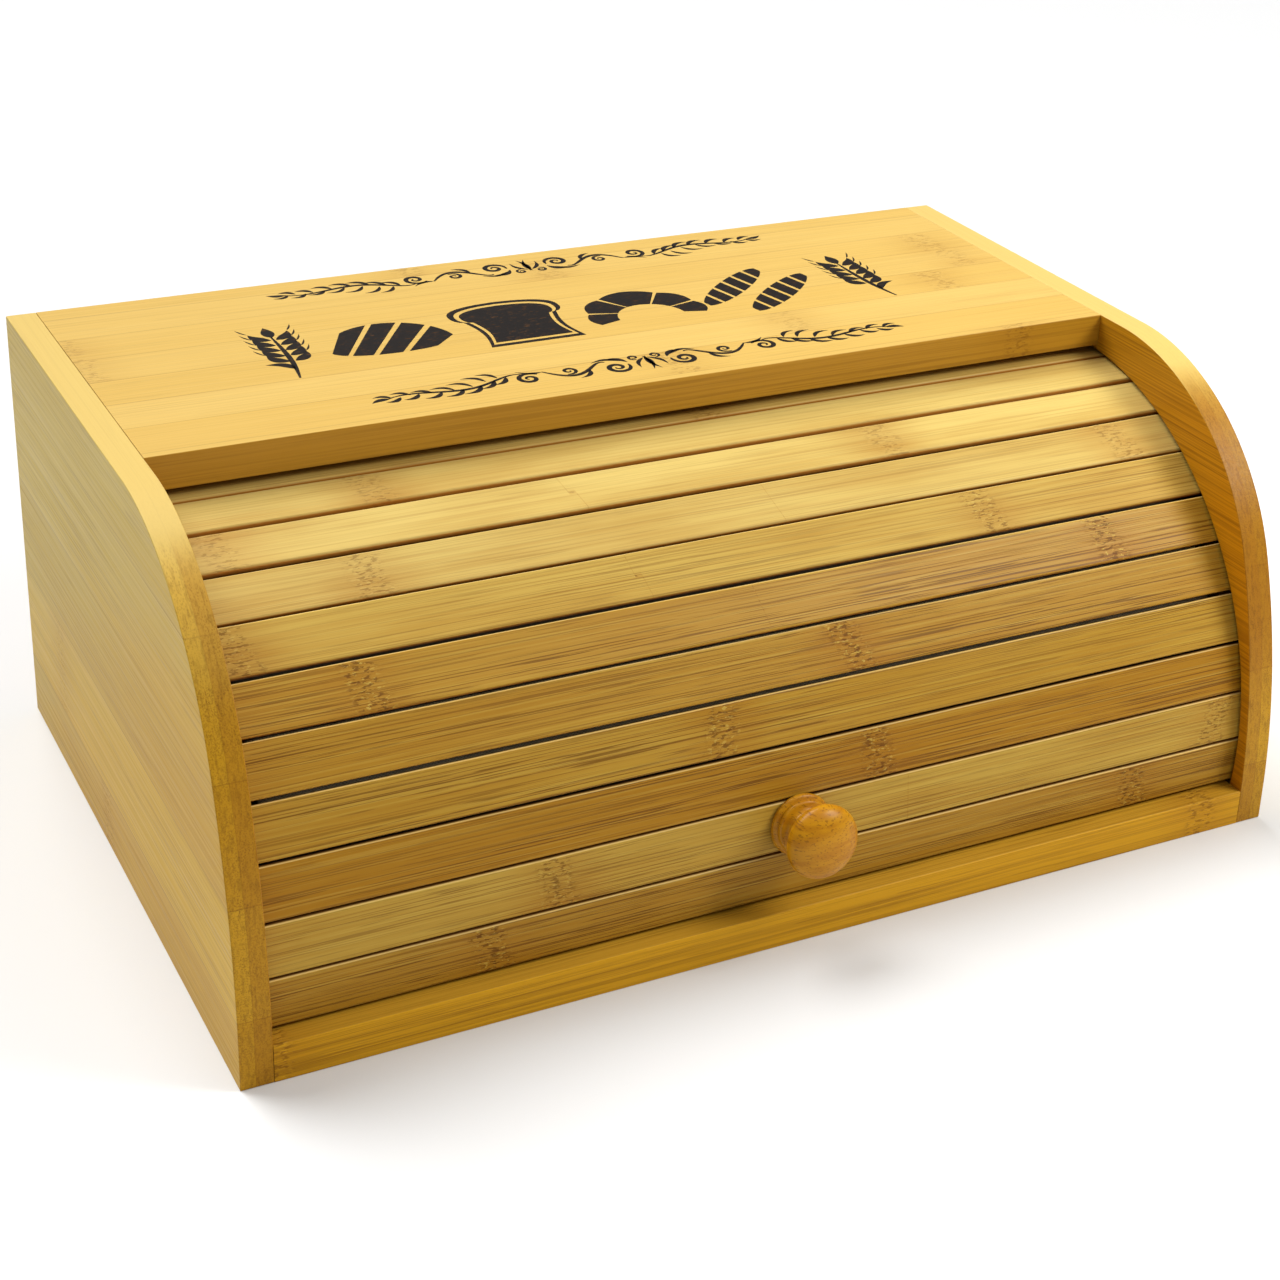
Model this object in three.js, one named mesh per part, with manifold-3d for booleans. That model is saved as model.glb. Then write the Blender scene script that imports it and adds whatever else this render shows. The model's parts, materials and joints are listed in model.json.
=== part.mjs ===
// Bamboo bread box with a roll top: a cabinet of five boards doweled together, and a tambour door of
// slats glued to a cloth, which slides in a round groove cut into the two side panels.
//
// Units are millimetres. X is the width, -Y the front, +Z up. The origin is the middle of the cabinet's
// footprint, on the surface that the box stands on.

import * as THREE from "three";
import { mergeVertices } from "three/addons/utils/BufferGeometryUtils.js";
import Module from "manifold-3d";

const wasm = await Module();
wasm.setup();

// ---- Driving dimensions ----

const WIDTH = 400;
const DEPTH = 264;
const HEIGHT = 165;
const SIDE_THICKNESS = 11;
const TOP_THICKNESS = 12.5;
const BOTTOM_THICKNESS = 13.8;
const BACK_THICKNESS = 5;
const FIT_GAP = 0.3; // between boards that are glued or let into each other

// The side panel's front edge: a short upright, a long shallow arc, then a tighter arc to the top edge.
const FRONT_UPRIGHT = 12;
const LOWER_ARC = { radius: 268, turn: THREE.MathUtils.degToRad(20) };
const ARC_STEP = THREE.MathUtils.degToRad(2.5);

// The door's path is one circle about this axis, which lies along X. Angles on it are measured from the
// front (-Y), upwards and over to the back.
const ROLL_AXIS = { y: -5, z: 29.5 };
const SLAT_COUNT = 12;
const SLAT_PITCH = THREE.MathUtils.degToRad(9.12);
const SLAT_WIDTH = 18;
const SLAT_THICKNESS = 5;
const SLAT_CHAMFER = 0.5;
const SLAT_CORNER_RADIUS = 120.3; // from the roll axis to a slat's outer corners
const CLOSED_CLEARANCE = 0.5; // under the lowest slat
const GROOVE_DEPTH = 6;
const GROOVE_INNER_RADIUS = 114.2;
const GROOVE_OUTER_RADIUS = 121.5;
const GROOVE_END = THREE.MathUtils.degToRad(176.5);
const ROUTER_STEPS = 8; // facets of the half round that a router leaves at a groove's end
const SLAT_END_CLEARANCE = 0.8; // between a slat's end and the bottom of the groove

const LIP_Y = -14.5; // front edge of the top board

const CLOTH_THICKNESS = 0.6;
const CLOTH_SIDE_MARGIN = 6; // between the cloth and each side panel
const CLOTH_HEM = THREE.MathUtils.degToRad(1); // the cloth stops short of the first and last slat edges

const BACK_PANEL_INSET = 5; // from the rear edge of the cabinet to the back panel
const BACK_PANEL_LET_IN = 4; // how far its edges enter the other boards

const DOWEL = { radius: 3, length: 20.4, sides: 16, chamfer: 0.8 };
const DOWEL_DEPTH_IN_SIDE = 7.3;
const DOWEL_DEPTH_IN_BOARD = 14;
const TOP_DOWELS_Y = [10, 60, 108];
const BOTTOM_DOWELS_Y = [-108, 0, 108];

const KNOB_SLAT = 1; // counted from 0 at the bottom
const KNOB = { footRadius: 11.4, waistRadius: 6.8, headRadius: 13.3, headHeight: 13, height: 22.5 };
const SCREW = { shankRadius: 2, headRadius: 3.6, headHeight: 2.4, reach: 18.5 };
const WASHER = { innerRadius: 2.4, outerRadius: 5.5, thickness: 0.9 };
const TURNED_SEGMENTS = 32;

// ---- Derived sizes ----

// The upper arc is as large as brings the outline level at the full height.
const LOWER_ARC_RISE = LOWER_ARC.radius * Math.sin(LOWER_ARC.turn);
const UPPER_ARC = {
  radius: (HEIGHT - FRONT_UPRIGHT - LOWER_ARC_RISE) / (1 - Math.sin(LOWER_ARC.turn)),
  turn: Math.PI / 2 - LOWER_ARC.turn,
};
const INNER_HALF = WIDTH / 2 - SIDE_THICKNESS; // to the side panels' inner faces
const BOARD_LENGTH = 2 * (INNER_HALF - FIT_GAP);
const SLAT_LENGTH = 2 * (INNER_HALF + GROOVE_DEPTH - SLAT_END_CLEARANCE);
const SLAT_FACE_RADIUS = Math.sqrt(SLAT_CORNER_RADIUS ** 2 - (SLAT_WIDTH / 2) ** 2);
const SLAT_BACK_RADIUS = SLAT_FACE_RADIUS - SLAT_THICKNESS;
const CLOTH_OUTER_RADIUS = SLAT_BACK_RADIUS - FIT_GAP;
const CLOTH_INNER_RADIUS = CLOTH_OUTER_RADIUS - CLOTH_THICKNESS;
const DOOR_START = Math.asin((BOTTOM_THICKNESS + CLOSED_CLEARANCE - ROLL_AXIS.z) / SLAT_CORNER_RADIUS);
const KNOB_ANGLE = slatAngle(KNOB_SLAT);
const BACK_FACE_Y = DEPTH / 2 - BACK_PANEL_INSET; // the back panel's rear face

// The angle of a slat's middle, on the door's circle.
function slatAngle(index) {
  return DOOR_START + (index + 0.5) * SLAT_PITCH;
}

// ---- Materials ----

const bamboo = (color) => new THREE.MeshStandardMaterial({ color, roughness: 0.45, metalness: 0 });
const boardBamboo = () => bamboo(0xe2b866);
const sideBamboo = () => bamboo(0xc9ab62);
const slatBamboo = () => bamboo(0xd0a04c);
const knobWood = () => new THREE.MeshStandardMaterial({ color: 0xc88f35, roughness: 0.35, metalness: 0 });
const dowelWood = () => new THREE.MeshStandardMaterial({ color: 0xd8bd8a, roughness: 0.7, metalness: 0 });
const cloth = () => new THREE.MeshStandardMaterial({ color: 0xcbbd9c, roughness: 0.95, metalness: 0 });
const steel = () => new THREE.MeshStandardMaterial({ color: 0xb9bcc0, roughness: 0.35, metalness: 1 });

// ---- Solids and booleans ----

// A closed geometry as a manifold solid.
function solidOf(geometry) {
  const bare = geometry.clone();
  bare.deleteAttribute("normal");
  bare.deleteAttribute("uv");
  const merged = mergeVertices(bare, 1e-4);
  return new wasm.Manifold(
    new wasm.Mesh({
      numProp: 3,
      vertProperties: merged.attributes.position.array,
      triVerts: new Uint32Array(merged.index.array),
    }),
  );
}

// A manifold solid as a geometry.
function geometryOf(solid) {
  const mesh = solid.getMesh();
  const geometry = new THREE.BufferGeometry();
  geometry.setAttribute("position", new THREE.BufferAttribute(mesh.vertProperties, 3));
  geometry.setIndex(new THREE.BufferAttribute(mesh.triVerts, 1));
  geometry.computeVertexNormals();
  return geometry;
}

// A geometry with each of the cutters taken out of it.
function cut(geometry, cutters) {
  const remains = cutters.reduce((solid, cutter) => solid.subtract(solidOf(cutter)), solidOf(geometry));
  return geometryOf(remains);
}

// A box between two corners.
function boxBetween(low, high) {
  const size = new THREE.Vector3().subVectors(high, low);
  const middle = new THREE.Vector3().addVectors(low, high).multiplyScalar(0.5);
  return new THREE.BoxGeometry(size.x, size.y, size.z).translate(middle.x, middle.y, middle.z);
}

// An outline in the YZ plane, carried along X from one side to the other.
function carryAcross(outline, fromX, toX) {
  const geometry = new THREE.ExtrudeGeometry(outline, { depth: toX - fromX, bevelEnabled: false });
  const axes = new THREE.Matrix4().makeBasis(
    new THREE.Vector3(0, 1, 0),
    new THREE.Vector3(0, 0, 1),
    new THREE.Vector3(1, 0, 0),
  );
  return geometry.applyMatrix4(axes).translate(fromX, 0, 0);
}

// A rod along X.
function rodAcross(radius, length, sides) {
  return new THREE.CylinderGeometry(radius, radius, length, sides).rotateZ(Math.PI / 2);
}

// A point about the roll axis, as (y, z): its distance from the axis at a door angle, and how far along the
// tangent it then lies.
function doorPoint(radius, angle, along = 0) {
  return new THREE.Vector2(
    along * Math.sin(angle) - radius * Math.cos(angle),
    along * Math.cos(angle) + radius * Math.sin(angle),
  );
}

// Points on a circle about the roll axis, at door angles from one to another, both included.
function doorArc(radius, from, to) {
  const count = Math.ceil(Math.abs(to - from) / ARC_STEP);
  return Array.from({ length: count + 1 }, (_, i) => doorPoint(radius, from + ((to - from) * i) / count));
}

// ---- Cabinet ----

// The side panel's outline: back corner, base, front edge with its two arcs, top edge.
function sideOutline() {
  const points = [new THREE.Vector2(DEPTH / 2, 0), new THREE.Vector2(-DEPTH / 2, 0)];
  let place = new THREE.Vector2(-DEPTH / 2, FRONT_UPRIGHT);
  let heading = Math.PI / 2; // straight up
  points.push(place.clone());
  for (const arc of [LOWER_ARC, UPPER_ARC]) {
    const centre = new THREE.Vector2(
      place.x + arc.radius * Math.sin(heading),
      place.y - arc.radius * Math.cos(heading),
    );
    const steps = Math.ceil(arc.turn / ARC_STEP);
    for (let i = 1; i <= steps; i++) {
      const h = heading - (arc.turn * i) / steps;
      points.push(
        new THREE.Vector2(centre.x - arc.radius * Math.sin(h), centre.y + arc.radius * Math.cos(h)),
      );
    }
    heading -= arc.turn;
    place = points.at(-1).clone();
  }
  points.push(new THREE.Vector2(DEPTH / 2, HEIGHT));
  return new THREE.Shape(points.reverse());
}

// The groove's outline about the roll axis: two arcs, joined by half rounds. The half rounds run outside to
// inside past the groove's far end, and inside to outside past its near end.
function grooveOutline() {
  const halfWidth = (GROOVE_OUTER_RADIUS - GROOVE_INNER_RADIUS) / 2;
  const middle = GROOVE_INNER_RADIUS + halfWidth;
  const halfRound = (angle, way) =>
    Array.from({ length: ROUTER_STEPS - 1 }, (_, i) => {
      const a = (Math.PI * (i + 1)) / ROUTER_STEPS;
      return doorPoint(middle + way * halfWidth * Math.cos(a), angle, way * halfWidth * Math.sin(a));
    });
  return new THREE.Shape([
    ...doorArc(GROOVE_OUTER_RADIUS, DOOR_START, GROOVE_END),
    ...halfRound(GROOVE_END, 1),
    ...doorArc(GROOVE_INNER_RADIUS, GROOVE_END, DOOR_START),
    ...halfRound(DOOR_START, -1),
  ]);
}

// Where the dowels of one board stand, as [y, z].
const topDowels = TOP_DOWELS_Y.map((y) => [y, HEIGHT - TOP_THICKNESS / 2]);
const bottomDowels = BOTTOM_DOWELS_Y.map((y) => [y, BOTTOM_THICKNESS / 2]);

// Blind holes for dowels, side being -1 at the left and 1 at the right. The holes run from a depth inside
// the board between the sides to a depth inside the side panel.
function dowelHoles(places, side) {
  const inner = INNER_HALF - DOWEL_DEPTH_IN_BOARD;
  const outer = INNER_HALF + DOWEL_DEPTH_IN_SIDE;
  const hole = rodAcross(DOWEL.radius + FIT_GAP, outer - inner, DOWEL.sides);
  return places.map(([y, z]) => hole.clone().translate((side * (inner + outer)) / 2, y, z));
}

// The slot that the back panel's edges are let into, in all four boards around it.
function backPanelSlot() {
  const reach = BACK_PANEL_LET_IN + FIT_GAP;
  return boxBetween(
    new THREE.Vector3(-INNER_HALF - reach, BACK_FACE_Y - BACK_THICKNESS - FIT_GAP, BOTTOM_THICKNESS - reach),
    new THREE.Vector3(INNER_HALF + reach, BACK_FACE_Y + FIT_GAP, HEIGHT - TOP_THICKNESS + reach),
  );
}

function sidePanel(name, side) {
  const outer = (side * WIDTH) / 2;
  const inner = side * INNER_HALF;
  const board = carryAcross(sideOutline(), Math.min(outer, inner), Math.max(outer, inner));
  const past = -side; // the groove's cutter starts a millimetre inside the cabinet
  const ends = [inner + past, inner + side * GROOVE_DEPTH];
  const groove = carryAcross(grooveOutline(), Math.min(...ends), Math.max(...ends));
  groove.translate(0, ROLL_AXIS.y, ROLL_AXIS.z);
  const holes = dowelHoles([...topDowels, ...bottomDowels], side);
  return named(name, cut(board, [groove, backPanelSlot(), ...holes]), sideBamboo());
}

function topPanel() {
  const board = boxBetween(
    new THREE.Vector3(-BOARD_LENGTH / 2, LIP_Y, HEIGHT - TOP_THICKNESS),
    new THREE.Vector3(BOARD_LENGTH / 2, DEPTH / 2, HEIGHT),
  );
  const holes = [-1, 1].flatMap((side) => dowelHoles(topDowels, side));
  return named("top_panel", cut(board, [backPanelSlot(), ...holes]), boardBamboo());
}

function bottomPanel() {
  const board = boxBetween(
    new THREE.Vector3(-BOARD_LENGTH / 2, -DEPTH / 2, 0),
    new THREE.Vector3(BOARD_LENGTH / 2, DEPTH / 2, BOTTOM_THICKNESS),
  );
  const holes = [-1, 1].flatMap((side) => dowelHoles(bottomDowels, side));
  return named("bottom_panel", cut(board, [backPanelSlot(), ...holes]), boardBamboo());
}

function backPanel() {
  const board = boxBetween(
    new THREE.Vector3(
      -INNER_HALF - BACK_PANEL_LET_IN,
      BACK_FACE_Y - BACK_THICKNESS,
      BOTTOM_THICKNESS - BACK_PANEL_LET_IN,
    ),
    new THREE.Vector3(
      INNER_HALF + BACK_PANEL_LET_IN,
      BACK_FACE_Y,
      HEIGHT - TOP_THICKNESS + BACK_PANEL_LET_IN,
    ),
  );
  return named("back_panel", board, boardBamboo());
}

// A dowel along X with chamfered ends, turned from its half profile.
function dowelGeometry() {
  const half = DOWEL.length / 2;
  const profile = [
    [0, -half],
    [DOWEL.radius - DOWEL.chamfer, -half],
    [DOWEL.radius, -half + DOWEL.chamfer],
    [DOWEL.radius, half - DOWEL.chamfer],
    [DOWEL.radius - DOWEL.chamfer, half],
    [0, half],
  ].map(([r, h]) => new THREE.Vector2(r, h));
  return new THREE.LatheGeometry(profile, DOWEL.sides).rotateZ(Math.PI / 2);
}

// Every dowel as its own mesh, named by its board, its side and its number from the front.
function dowels() {
  const geometry = dowelGeometry();
  const middle = INNER_HALF + (DOWEL_DEPTH_IN_SIDE - DOWEL_DEPTH_IN_BOARD) / 2;
  const rows = [
    ["top", topDowels],
    ["bottom", bottomDowels],
  ];
  return rows.flatMap(([board, places]) =>
    [-1, 1].flatMap((side) =>
      places.map(([y, z], i) => {
        const mesh = named(`${board}_dowel_${side < 0 ? "left" : "right"}_${i + 1}`, geometry, dowelWood());
        mesh.position.set(side * middle, y, z);
        return mesh;
      }),
    ),
  );
}

// ---- Door ----

// A group whose +Z points outwards from the roll axis at a door angle, and whose +Y points up the door.
function station(angle, ...contents) {
  const group = new THREE.Group();
  group.rotation.x = Math.PI / 2 - angle;
  group.add(...contents);
  return group;
}

// A slat's section, its outer edges eased, carried along its length. Its outer face is at height 0.
function slatGeometry() {
  const half = SLAT_WIDTH / 2;
  const section = new THREE.Shape(
    [
      [-half, -SLAT_THICKNESS],
      [half, -SLAT_THICKNESS],
      [half, -SLAT_CHAMFER],
      [half - SLAT_CHAMFER, 0],
      [-half + SLAT_CHAMFER, 0],
      [-half, -SLAT_CHAMFER],
    ].map(([y, z]) => new THREE.Vector2(y, z)),
  );
  return carryAcross(section, -SLAT_LENGTH / 2, SLAT_LENGTH / 2);
}

// A rod along Z, for the hole that the knob's screw goes through.
function screwHole(fromZ, toZ) {
  const radius = SCREW.shankRadius + FIT_GAP;
  return new THREE.CylinderGeometry(radius, radius, toZ - fromZ, DOWEL.sides)
    .rotateX(Math.PI / 2)
    .translate(0, 0, (fromZ + toZ) / 2);
}

function slats() {
  const plain = slatGeometry();
  const drilled = cut(plain, [screwHole(-SLAT_THICKNESS - 1, 1)]);
  return Array.from({ length: SLAT_COUNT }, (_, i) => {
    const number = String(i + 1).padStart(2, "0");
    const mesh = named(`door_slat_${number}`, i === KNOB_SLAT ? drilled : plain, slatBamboo());
    mesh.position.z = SLAT_FACE_RADIUS;
    return station(slatAngle(i), mesh);
  });
}

// The cloth that joins the slats lies flat on each slat's back and bends at the joints between them. Along
// its hems it stops a little short of the door's first and last edges.
function backingCloth() {
  const hem = SLAT_PITCH / 2 - CLOTH_HEM; // from the middle of an end slat
  const first = slatAngle(0);
  const last = slatAngle(SLAT_COUNT - 1);
  const joints = Array.from({ length: SLAT_COUNT - 1 }, (_, i) => slatAngle(i) + SLAT_PITCH / 2);
  const face = (radius) => [
    doorPoint(radius / Math.cos(hem), first - hem),
    ...joints.map((angle) => doorPoint(radius / Math.cos(SLAT_PITCH / 2), angle)),
    doorPoint(radius / Math.cos(hem), last + hem),
  ];
  const section = new THREE.Shape([...face(CLOTH_INNER_RADIUS), ...face(CLOTH_OUTER_RADIUS).reverse()]);
  const halfWidth = INNER_HALF - CLOTH_SIDE_MARGIN;
  const sheet = carryAcross(section, -halfWidth, halfWidth);
  const hole = screwHole(CLOTH_INNER_RADIUS - 2, CLOTH_OUTER_RADIUS + 2).rotateX(Math.PI / 2 - KNOB_ANGLE);
  return named("door_backing_cloth", cut(sheet, [hole]), cloth());
}

// A half profile of [radius, height] turned about Z.
function turned(profile) {
  const points = profile.map(([r, h]) => new THREE.Vector2(r, h));
  return new THREE.LatheGeometry(points, TURNED_SEGMENTS).rotateX(Math.PI / 2);
}

// Points on part of an ellipse, as [radius, height], between two angles in degrees, both included.
function ellipseArc(centre, halfWidth, halfHeight, from, to, steps) {
  return Array.from({ length: steps + 1 }, (_, i) => {
    const a = THREE.MathUtils.degToRad(from + ((to - from) * i) / steps);
    return [centre[0] + halfWidth * Math.cos(a), centre[1] + halfHeight * Math.sin(a)];
  });
}

// The knob: a foot with two beads, a waist, and a round head, with a blind pilot hole up the middle.
function knobGeometry() {
  const { footRadius, waistRadius, headRadius, headHeight, height } = KNOB;
  const pilotRadius = SCREW.shankRadius + FIT_GAP;
  const pilotDepth = SCREW.reach - SLAT_THICKNESS - WASHER.thickness - CLOTH_THICKNESS;
  const headMiddle = height - headHeight / 2;
  return turned([
    [0, pilotDepth],
    [pilotRadius, pilotDepth],
    [pilotRadius, 0],
    ...ellipseArc([footRadius - 1.3, 1.3], 1.3, 1.3, -90, 65, 5),
    ...ellipseArc([footRadius - 2.5, 3.7], 1.2, 1.2, -45, 80, 4),
    [waistRadius + 0.6, 5.6],
    [waistRadius, 7.4],
    [waistRadius + 0.3, 8.9],
    ...ellipseArc([0, headMiddle], headRadius, headHeight / 2, -55, 0, 5),
    ...ellipseArc([0, headMiddle], headRadius, headHeight / 2, 15, 75, 4),
    [0, height],
  ]);
}

// The knob with the screw that holds it and the washer under the screw's head, all on one axis.
function knobParts() {
  const knob = named("knob", knobGeometry(), knobWood());
  knob.position.z = SLAT_FACE_RADIUS + FIT_GAP;

  const { innerRadius, outerRadius, thickness } = WASHER;
  const ring = [
    [innerRadius, 0],
    [outerRadius, 0],
    [outerRadius, thickness],
    [innerRadius, thickness],
    [innerRadius, 0],
  ];
  const washer = named("knob_washer", turned(ring), steel());
  washer.position.z = CLOTH_INNER_RADIUS - FIT_GAP - thickness;

  const { shankRadius, headRadius, headHeight, reach } = SCREW;
  const panHeadAndShank = [
    [0, -headHeight],
    ...ellipseArc([0, 0], headRadius, headHeight, -60, 0, 4),
    [shankRadius, 0],
    [shankRadius, reach - headHeight - shankRadius],
    [0, reach - headHeight],
  ];
  const screw = named("knob_screw", turned(panHeadAndShank), steel());
  screw.position.z = washer.position.z - FIT_GAP;
  return station(KNOB_ANGLE, knob, washer, screw);
}

// ---- Assembly ----

function named(name, geometry, material) {
  const mesh = new THREE.Mesh(geometry, material);
  mesh.name = name;
  return mesh;
}

const cabinet = new THREE.Group();
cabinet.add(sidePanel("side_panel_left", -1), sidePanel("side_panel_right", 1));
cabinet.add(topPanel(), bottomPanel(), backPanel(), ...dowels());

const door = new THREE.Group();
door.position.set(0, ROLL_AXIS.y, ROLL_AXIS.z);
door.add(...slats(), backingCloth(), knobParts());

const breadBox = new THREE.Group();
breadBox.add(cabinet, door);

export default breadBox;
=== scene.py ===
"""Looks for a bamboo bread box with a roll top.

Every board, slat and turned piece is worked out with numpy in millimetres, in the frame's own place, and
stands for the frame's plain solid of the same name. Bamboo is one shader that reads where it is on the
strip: along the grain, across it and through its thickness.
"""

import json

import bpy
import numpy as np
from mathutils import Matrix, Vector
from mathutils.geometry import delaunay_2d_cdt


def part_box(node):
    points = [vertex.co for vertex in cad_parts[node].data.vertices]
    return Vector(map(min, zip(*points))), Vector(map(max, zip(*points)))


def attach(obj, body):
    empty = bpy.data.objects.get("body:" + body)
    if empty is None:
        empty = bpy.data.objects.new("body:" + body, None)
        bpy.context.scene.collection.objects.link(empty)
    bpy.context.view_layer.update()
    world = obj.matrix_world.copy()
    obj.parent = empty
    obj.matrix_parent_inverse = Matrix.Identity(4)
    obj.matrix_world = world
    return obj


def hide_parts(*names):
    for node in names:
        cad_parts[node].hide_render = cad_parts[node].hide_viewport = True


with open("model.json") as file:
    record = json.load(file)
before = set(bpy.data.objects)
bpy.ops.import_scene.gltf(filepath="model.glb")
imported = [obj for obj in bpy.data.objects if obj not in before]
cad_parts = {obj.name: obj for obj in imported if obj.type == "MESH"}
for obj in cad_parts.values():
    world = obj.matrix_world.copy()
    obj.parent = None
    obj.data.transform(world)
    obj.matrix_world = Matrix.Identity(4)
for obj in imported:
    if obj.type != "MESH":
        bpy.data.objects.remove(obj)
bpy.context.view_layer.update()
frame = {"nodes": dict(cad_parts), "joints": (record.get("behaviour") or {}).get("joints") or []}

MM = 0.001
NODES = frame["nodes"]
DOOR_HINGE = frame["joints"][0]

# ---- Sizes that the looks add to the frame, in millimetres ----

BOARD_EASE = 0.4  # radius on a board's long edges
FOOT_EASE = 1.4 * BOARD_EASE  # radius on a side panel's three square corners
BOARD_END_EASE = 0.05  # radius where a board between the sides meets them
THIN_END_EASE = 0.2  # radius at the ends of the slats and of the back panel
BACK_CORNER_EASE = 0.4
SEAM = 0.06  # gap left between two boards that are glued together
SLAT_THICKNESS = 5.0
SLAT_FRONT_EASE = 0.8
SLAT_BACK_EASE = 0.3
CLOTH_THICKNESS = 0.6
DOWEL_HOLE_GAP = 0.3

# The side panel's front edge: upright, long shallow arc, tighter arc up to the level top.
FRONT_UPRIGHT = 12.0
LOWER_ARC_RADIUS = 268.0
LOWER_ARC_TURN = np.radians(20)

# The groove in each side panel, about the roll axis. Angles run from the front, up and over.
GROOVE_DEPTH = 6.0
GROOVE_INNER_RADIUS = 114.2
GROOVE_OUTER_RADIUS = 121.5
GROOVE_END = np.radians(176.5)

BACK_PANEL_GAP = 0.3

# The print on the top: how far its ink goes into the wood and stands proud, and where its rows lie.
INK_SUNK = 0.03
INK_PROUD = 0.04
BOLDNESS = 1.35  # how much wider the print's lines are than drawn
LEAF_BOLDNESS = 1.1
PRINT_MIDDLE = 2.0
BAND_BEHIND = 117.0
SIGN_ROW = 60.0
BAND_BEFORE = 4.5


def node_box(name):
    """A frame node's lowest and highest corners, in millimetres."""
    low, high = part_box(name)
    return np.array(low) / MM, np.array(high) / MM


# ---- Measures taken from the frame ----

SIDE_LOW, SIDE_HIGH = node_box("side_panel_right")
TOP_LOW, TOP_HIGH = node_box("top_panel")
BOTTOM_LOW, BOTTOM_HIGH = node_box("bottom_panel")
BACK_LOW, BACK_HIGH = node_box("back_panel")
ROLL_AXIS = np.array(DOOR_HINGE["pos_m"])[1:] / MM
SLATS = sorted(name for name in NODES if name.startswith("door_slat_"))
DOWELS = sorted(name for name in NODES if "_dowel_" in name)
INNER = SIDE_LOW[0]  # from the middle plane to a side panel's inner face
OUTER = SIDE_HIGH[0]


def slat_station(name):
    """A slat's angle round the roll axis, and the distance from the axis to its outer face."""
    low, high = node_box(name)
    across = (low + high)[1:] / 2 - ROLL_AXIS
    return np.arctan2(across[1], -across[0]), np.hypot(*across) + SLAT_THICKNESS / 2


SLAT_ANGLES = np.array([slat_station(name)[0] for name in SLATS])
SLAT_FACE_RADIUS = slat_station(SLATS[0])[1]
SLAT_PITCH = np.diff(SLAT_ANGLES).mean()
DOOR_START = SLAT_ANGLES[0] - SLAT_PITCH / 2
KNOB_ANGLE = SLAT_ANGLES[1]


# ---- Meshes ----


def in_scene(name, data):
    """An object for a mesh, a light or the camera, put into the scene."""
    obj = bpy.data.objects.new(name, data)
    bpy.context.scene.collection.objects.link(obj)
    return obj


def piece(name, points, faces, material, body, replaces=(), sharp=35):
    """A mesh object from points in millimetres and a list of faces, smooth apart from its sharp edges."""
    mesh = bpy.data.meshes.new(name)
    mesh.from_pydata((np.asarray(points) * MM).tolist(), [], faces)
    mesh.validate()
    mesh.polygons.foreach_set("use_smooth", np.ones(len(mesh.polygons), bool))
    mesh.set_sharp_from_angle(angle=np.radians(sharp))
    mesh.materials.append(material)
    obj = in_scene(name, mesh)
    weighted = obj.modifiers.new("face_weighted_normals", "WEIGHTED_NORMAL")
    weighted.keep_sharp = True
    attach(obj, body)
    if replaces:
        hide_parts(*replaces)
    return obj


def attribute(obj, name, values):
    """Stores one number or one vector for each vertex of a piece."""
    values = np.asarray(values, np.float32)
    if values.ndim == 1:
        obj.data.attributes.new(name, "FLOAT", "POINT").data.foreach_set("value", values)
    else:
        obj.data.attributes.new(name, "FLOAT_VECTOR", "POINT").data.foreach_set("vector", values.ravel())


def grid_faces(rows, columns, wrap=False, first=0):
    """Quads over a grid of points stored row after row; wrap joins each row's last point to its first."""
    r = np.arange(rows - 1)[:, None]
    c = np.arange(columns if wrap else columns - 1)[None, :]
    nxt = (c + 1) % columns
    here, above = r * columns, (r + 1) * columns
    quads = np.stack([here + c, here + nxt, above + nxt, above + c], -1)
    return (quads.reshape(-1, 4) + first).tolist()


def pole_faces(rows, columns):
    """Triangles that close a wrapped grid's first and last rows to two poles, which come after its points."""
    ring = np.arange(columns)
    nxt = np.roll(ring, -1)
    last = (rows - 1) * columns
    start = np.stack([nxt, ring, np.full(columns, rows * columns)], -1)
    end = np.stack([last + ring, last + nxt, np.full(columns, rows * columns + 1)], -1)
    return np.concatenate([start, end]).tolist()


def rounded(corners, radii, steps=4):
    """A closed outline whose corners are circular arcs.

    At each corner the arc touches both sides; its points are the centre plus the radius times directions
    that turn evenly from one side's normal to the other's.
    """
    corners = np.asarray(corners, float)
    out = []
    for i, (corner, radius) in enumerate(zip(corners, radii)):
        before = corners[i - 1] - corner
        after = corners[(i + 1) % len(corners)] - corner
        before /= np.hypot(*before)
        after /= np.hypot(*after)
        half = np.arccos(np.clip(before @ after, -1, 1)) / 2
        if radius <= 0 or half > np.radians(89):
            out.append(corner[None])
            continue
        centre = corner + (before + after) / np.hypot(*(before + after)) * radius / np.sin(half)
        start = corner + before * radius / np.tan(half) - centre
        end = corner + after * radius / np.tan(half) - centre
        a0 = np.arctan2(start[1], start[0])
        turn = np.arctan2(start[0] * end[1] - start[1] * end[0], start @ end)
        a = a0 + turn * np.linspace(0, 1, steps + 1)
        out.append(centre + radius * np.stack([np.cos(a), np.sin(a)], -1))
    return np.concatenate(out)


def signed_area(loop):
    """Twice the area inside a closed loop, positive where it runs anticlockwise."""
    nxt = np.roll(loop, -1, axis=0)
    return (loop[:, 0] * nxt[:, 1] - loop[:, 1] * nxt[:, 0]).sum()


def inset(loop, distance):
    """A closed anticlockwise loop moved inwards: each point goes along its mitre by the distance."""
    ahead = np.roll(loop, -1, axis=0) - loop
    ahead /= np.maximum(np.linalg.norm(ahead, axis=1, keepdims=True), 1e-9)
    behind = np.roll(ahead, 1, axis=0)
    normal = np.stack([-(ahead + behind)[:, 1], (ahead + behind)[:, 0]], -1)
    mitre = normal / np.maximum((normal**2).sum(1, keepdims=True), 1e-9) * 2
    return loop + mitre * distance


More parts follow.
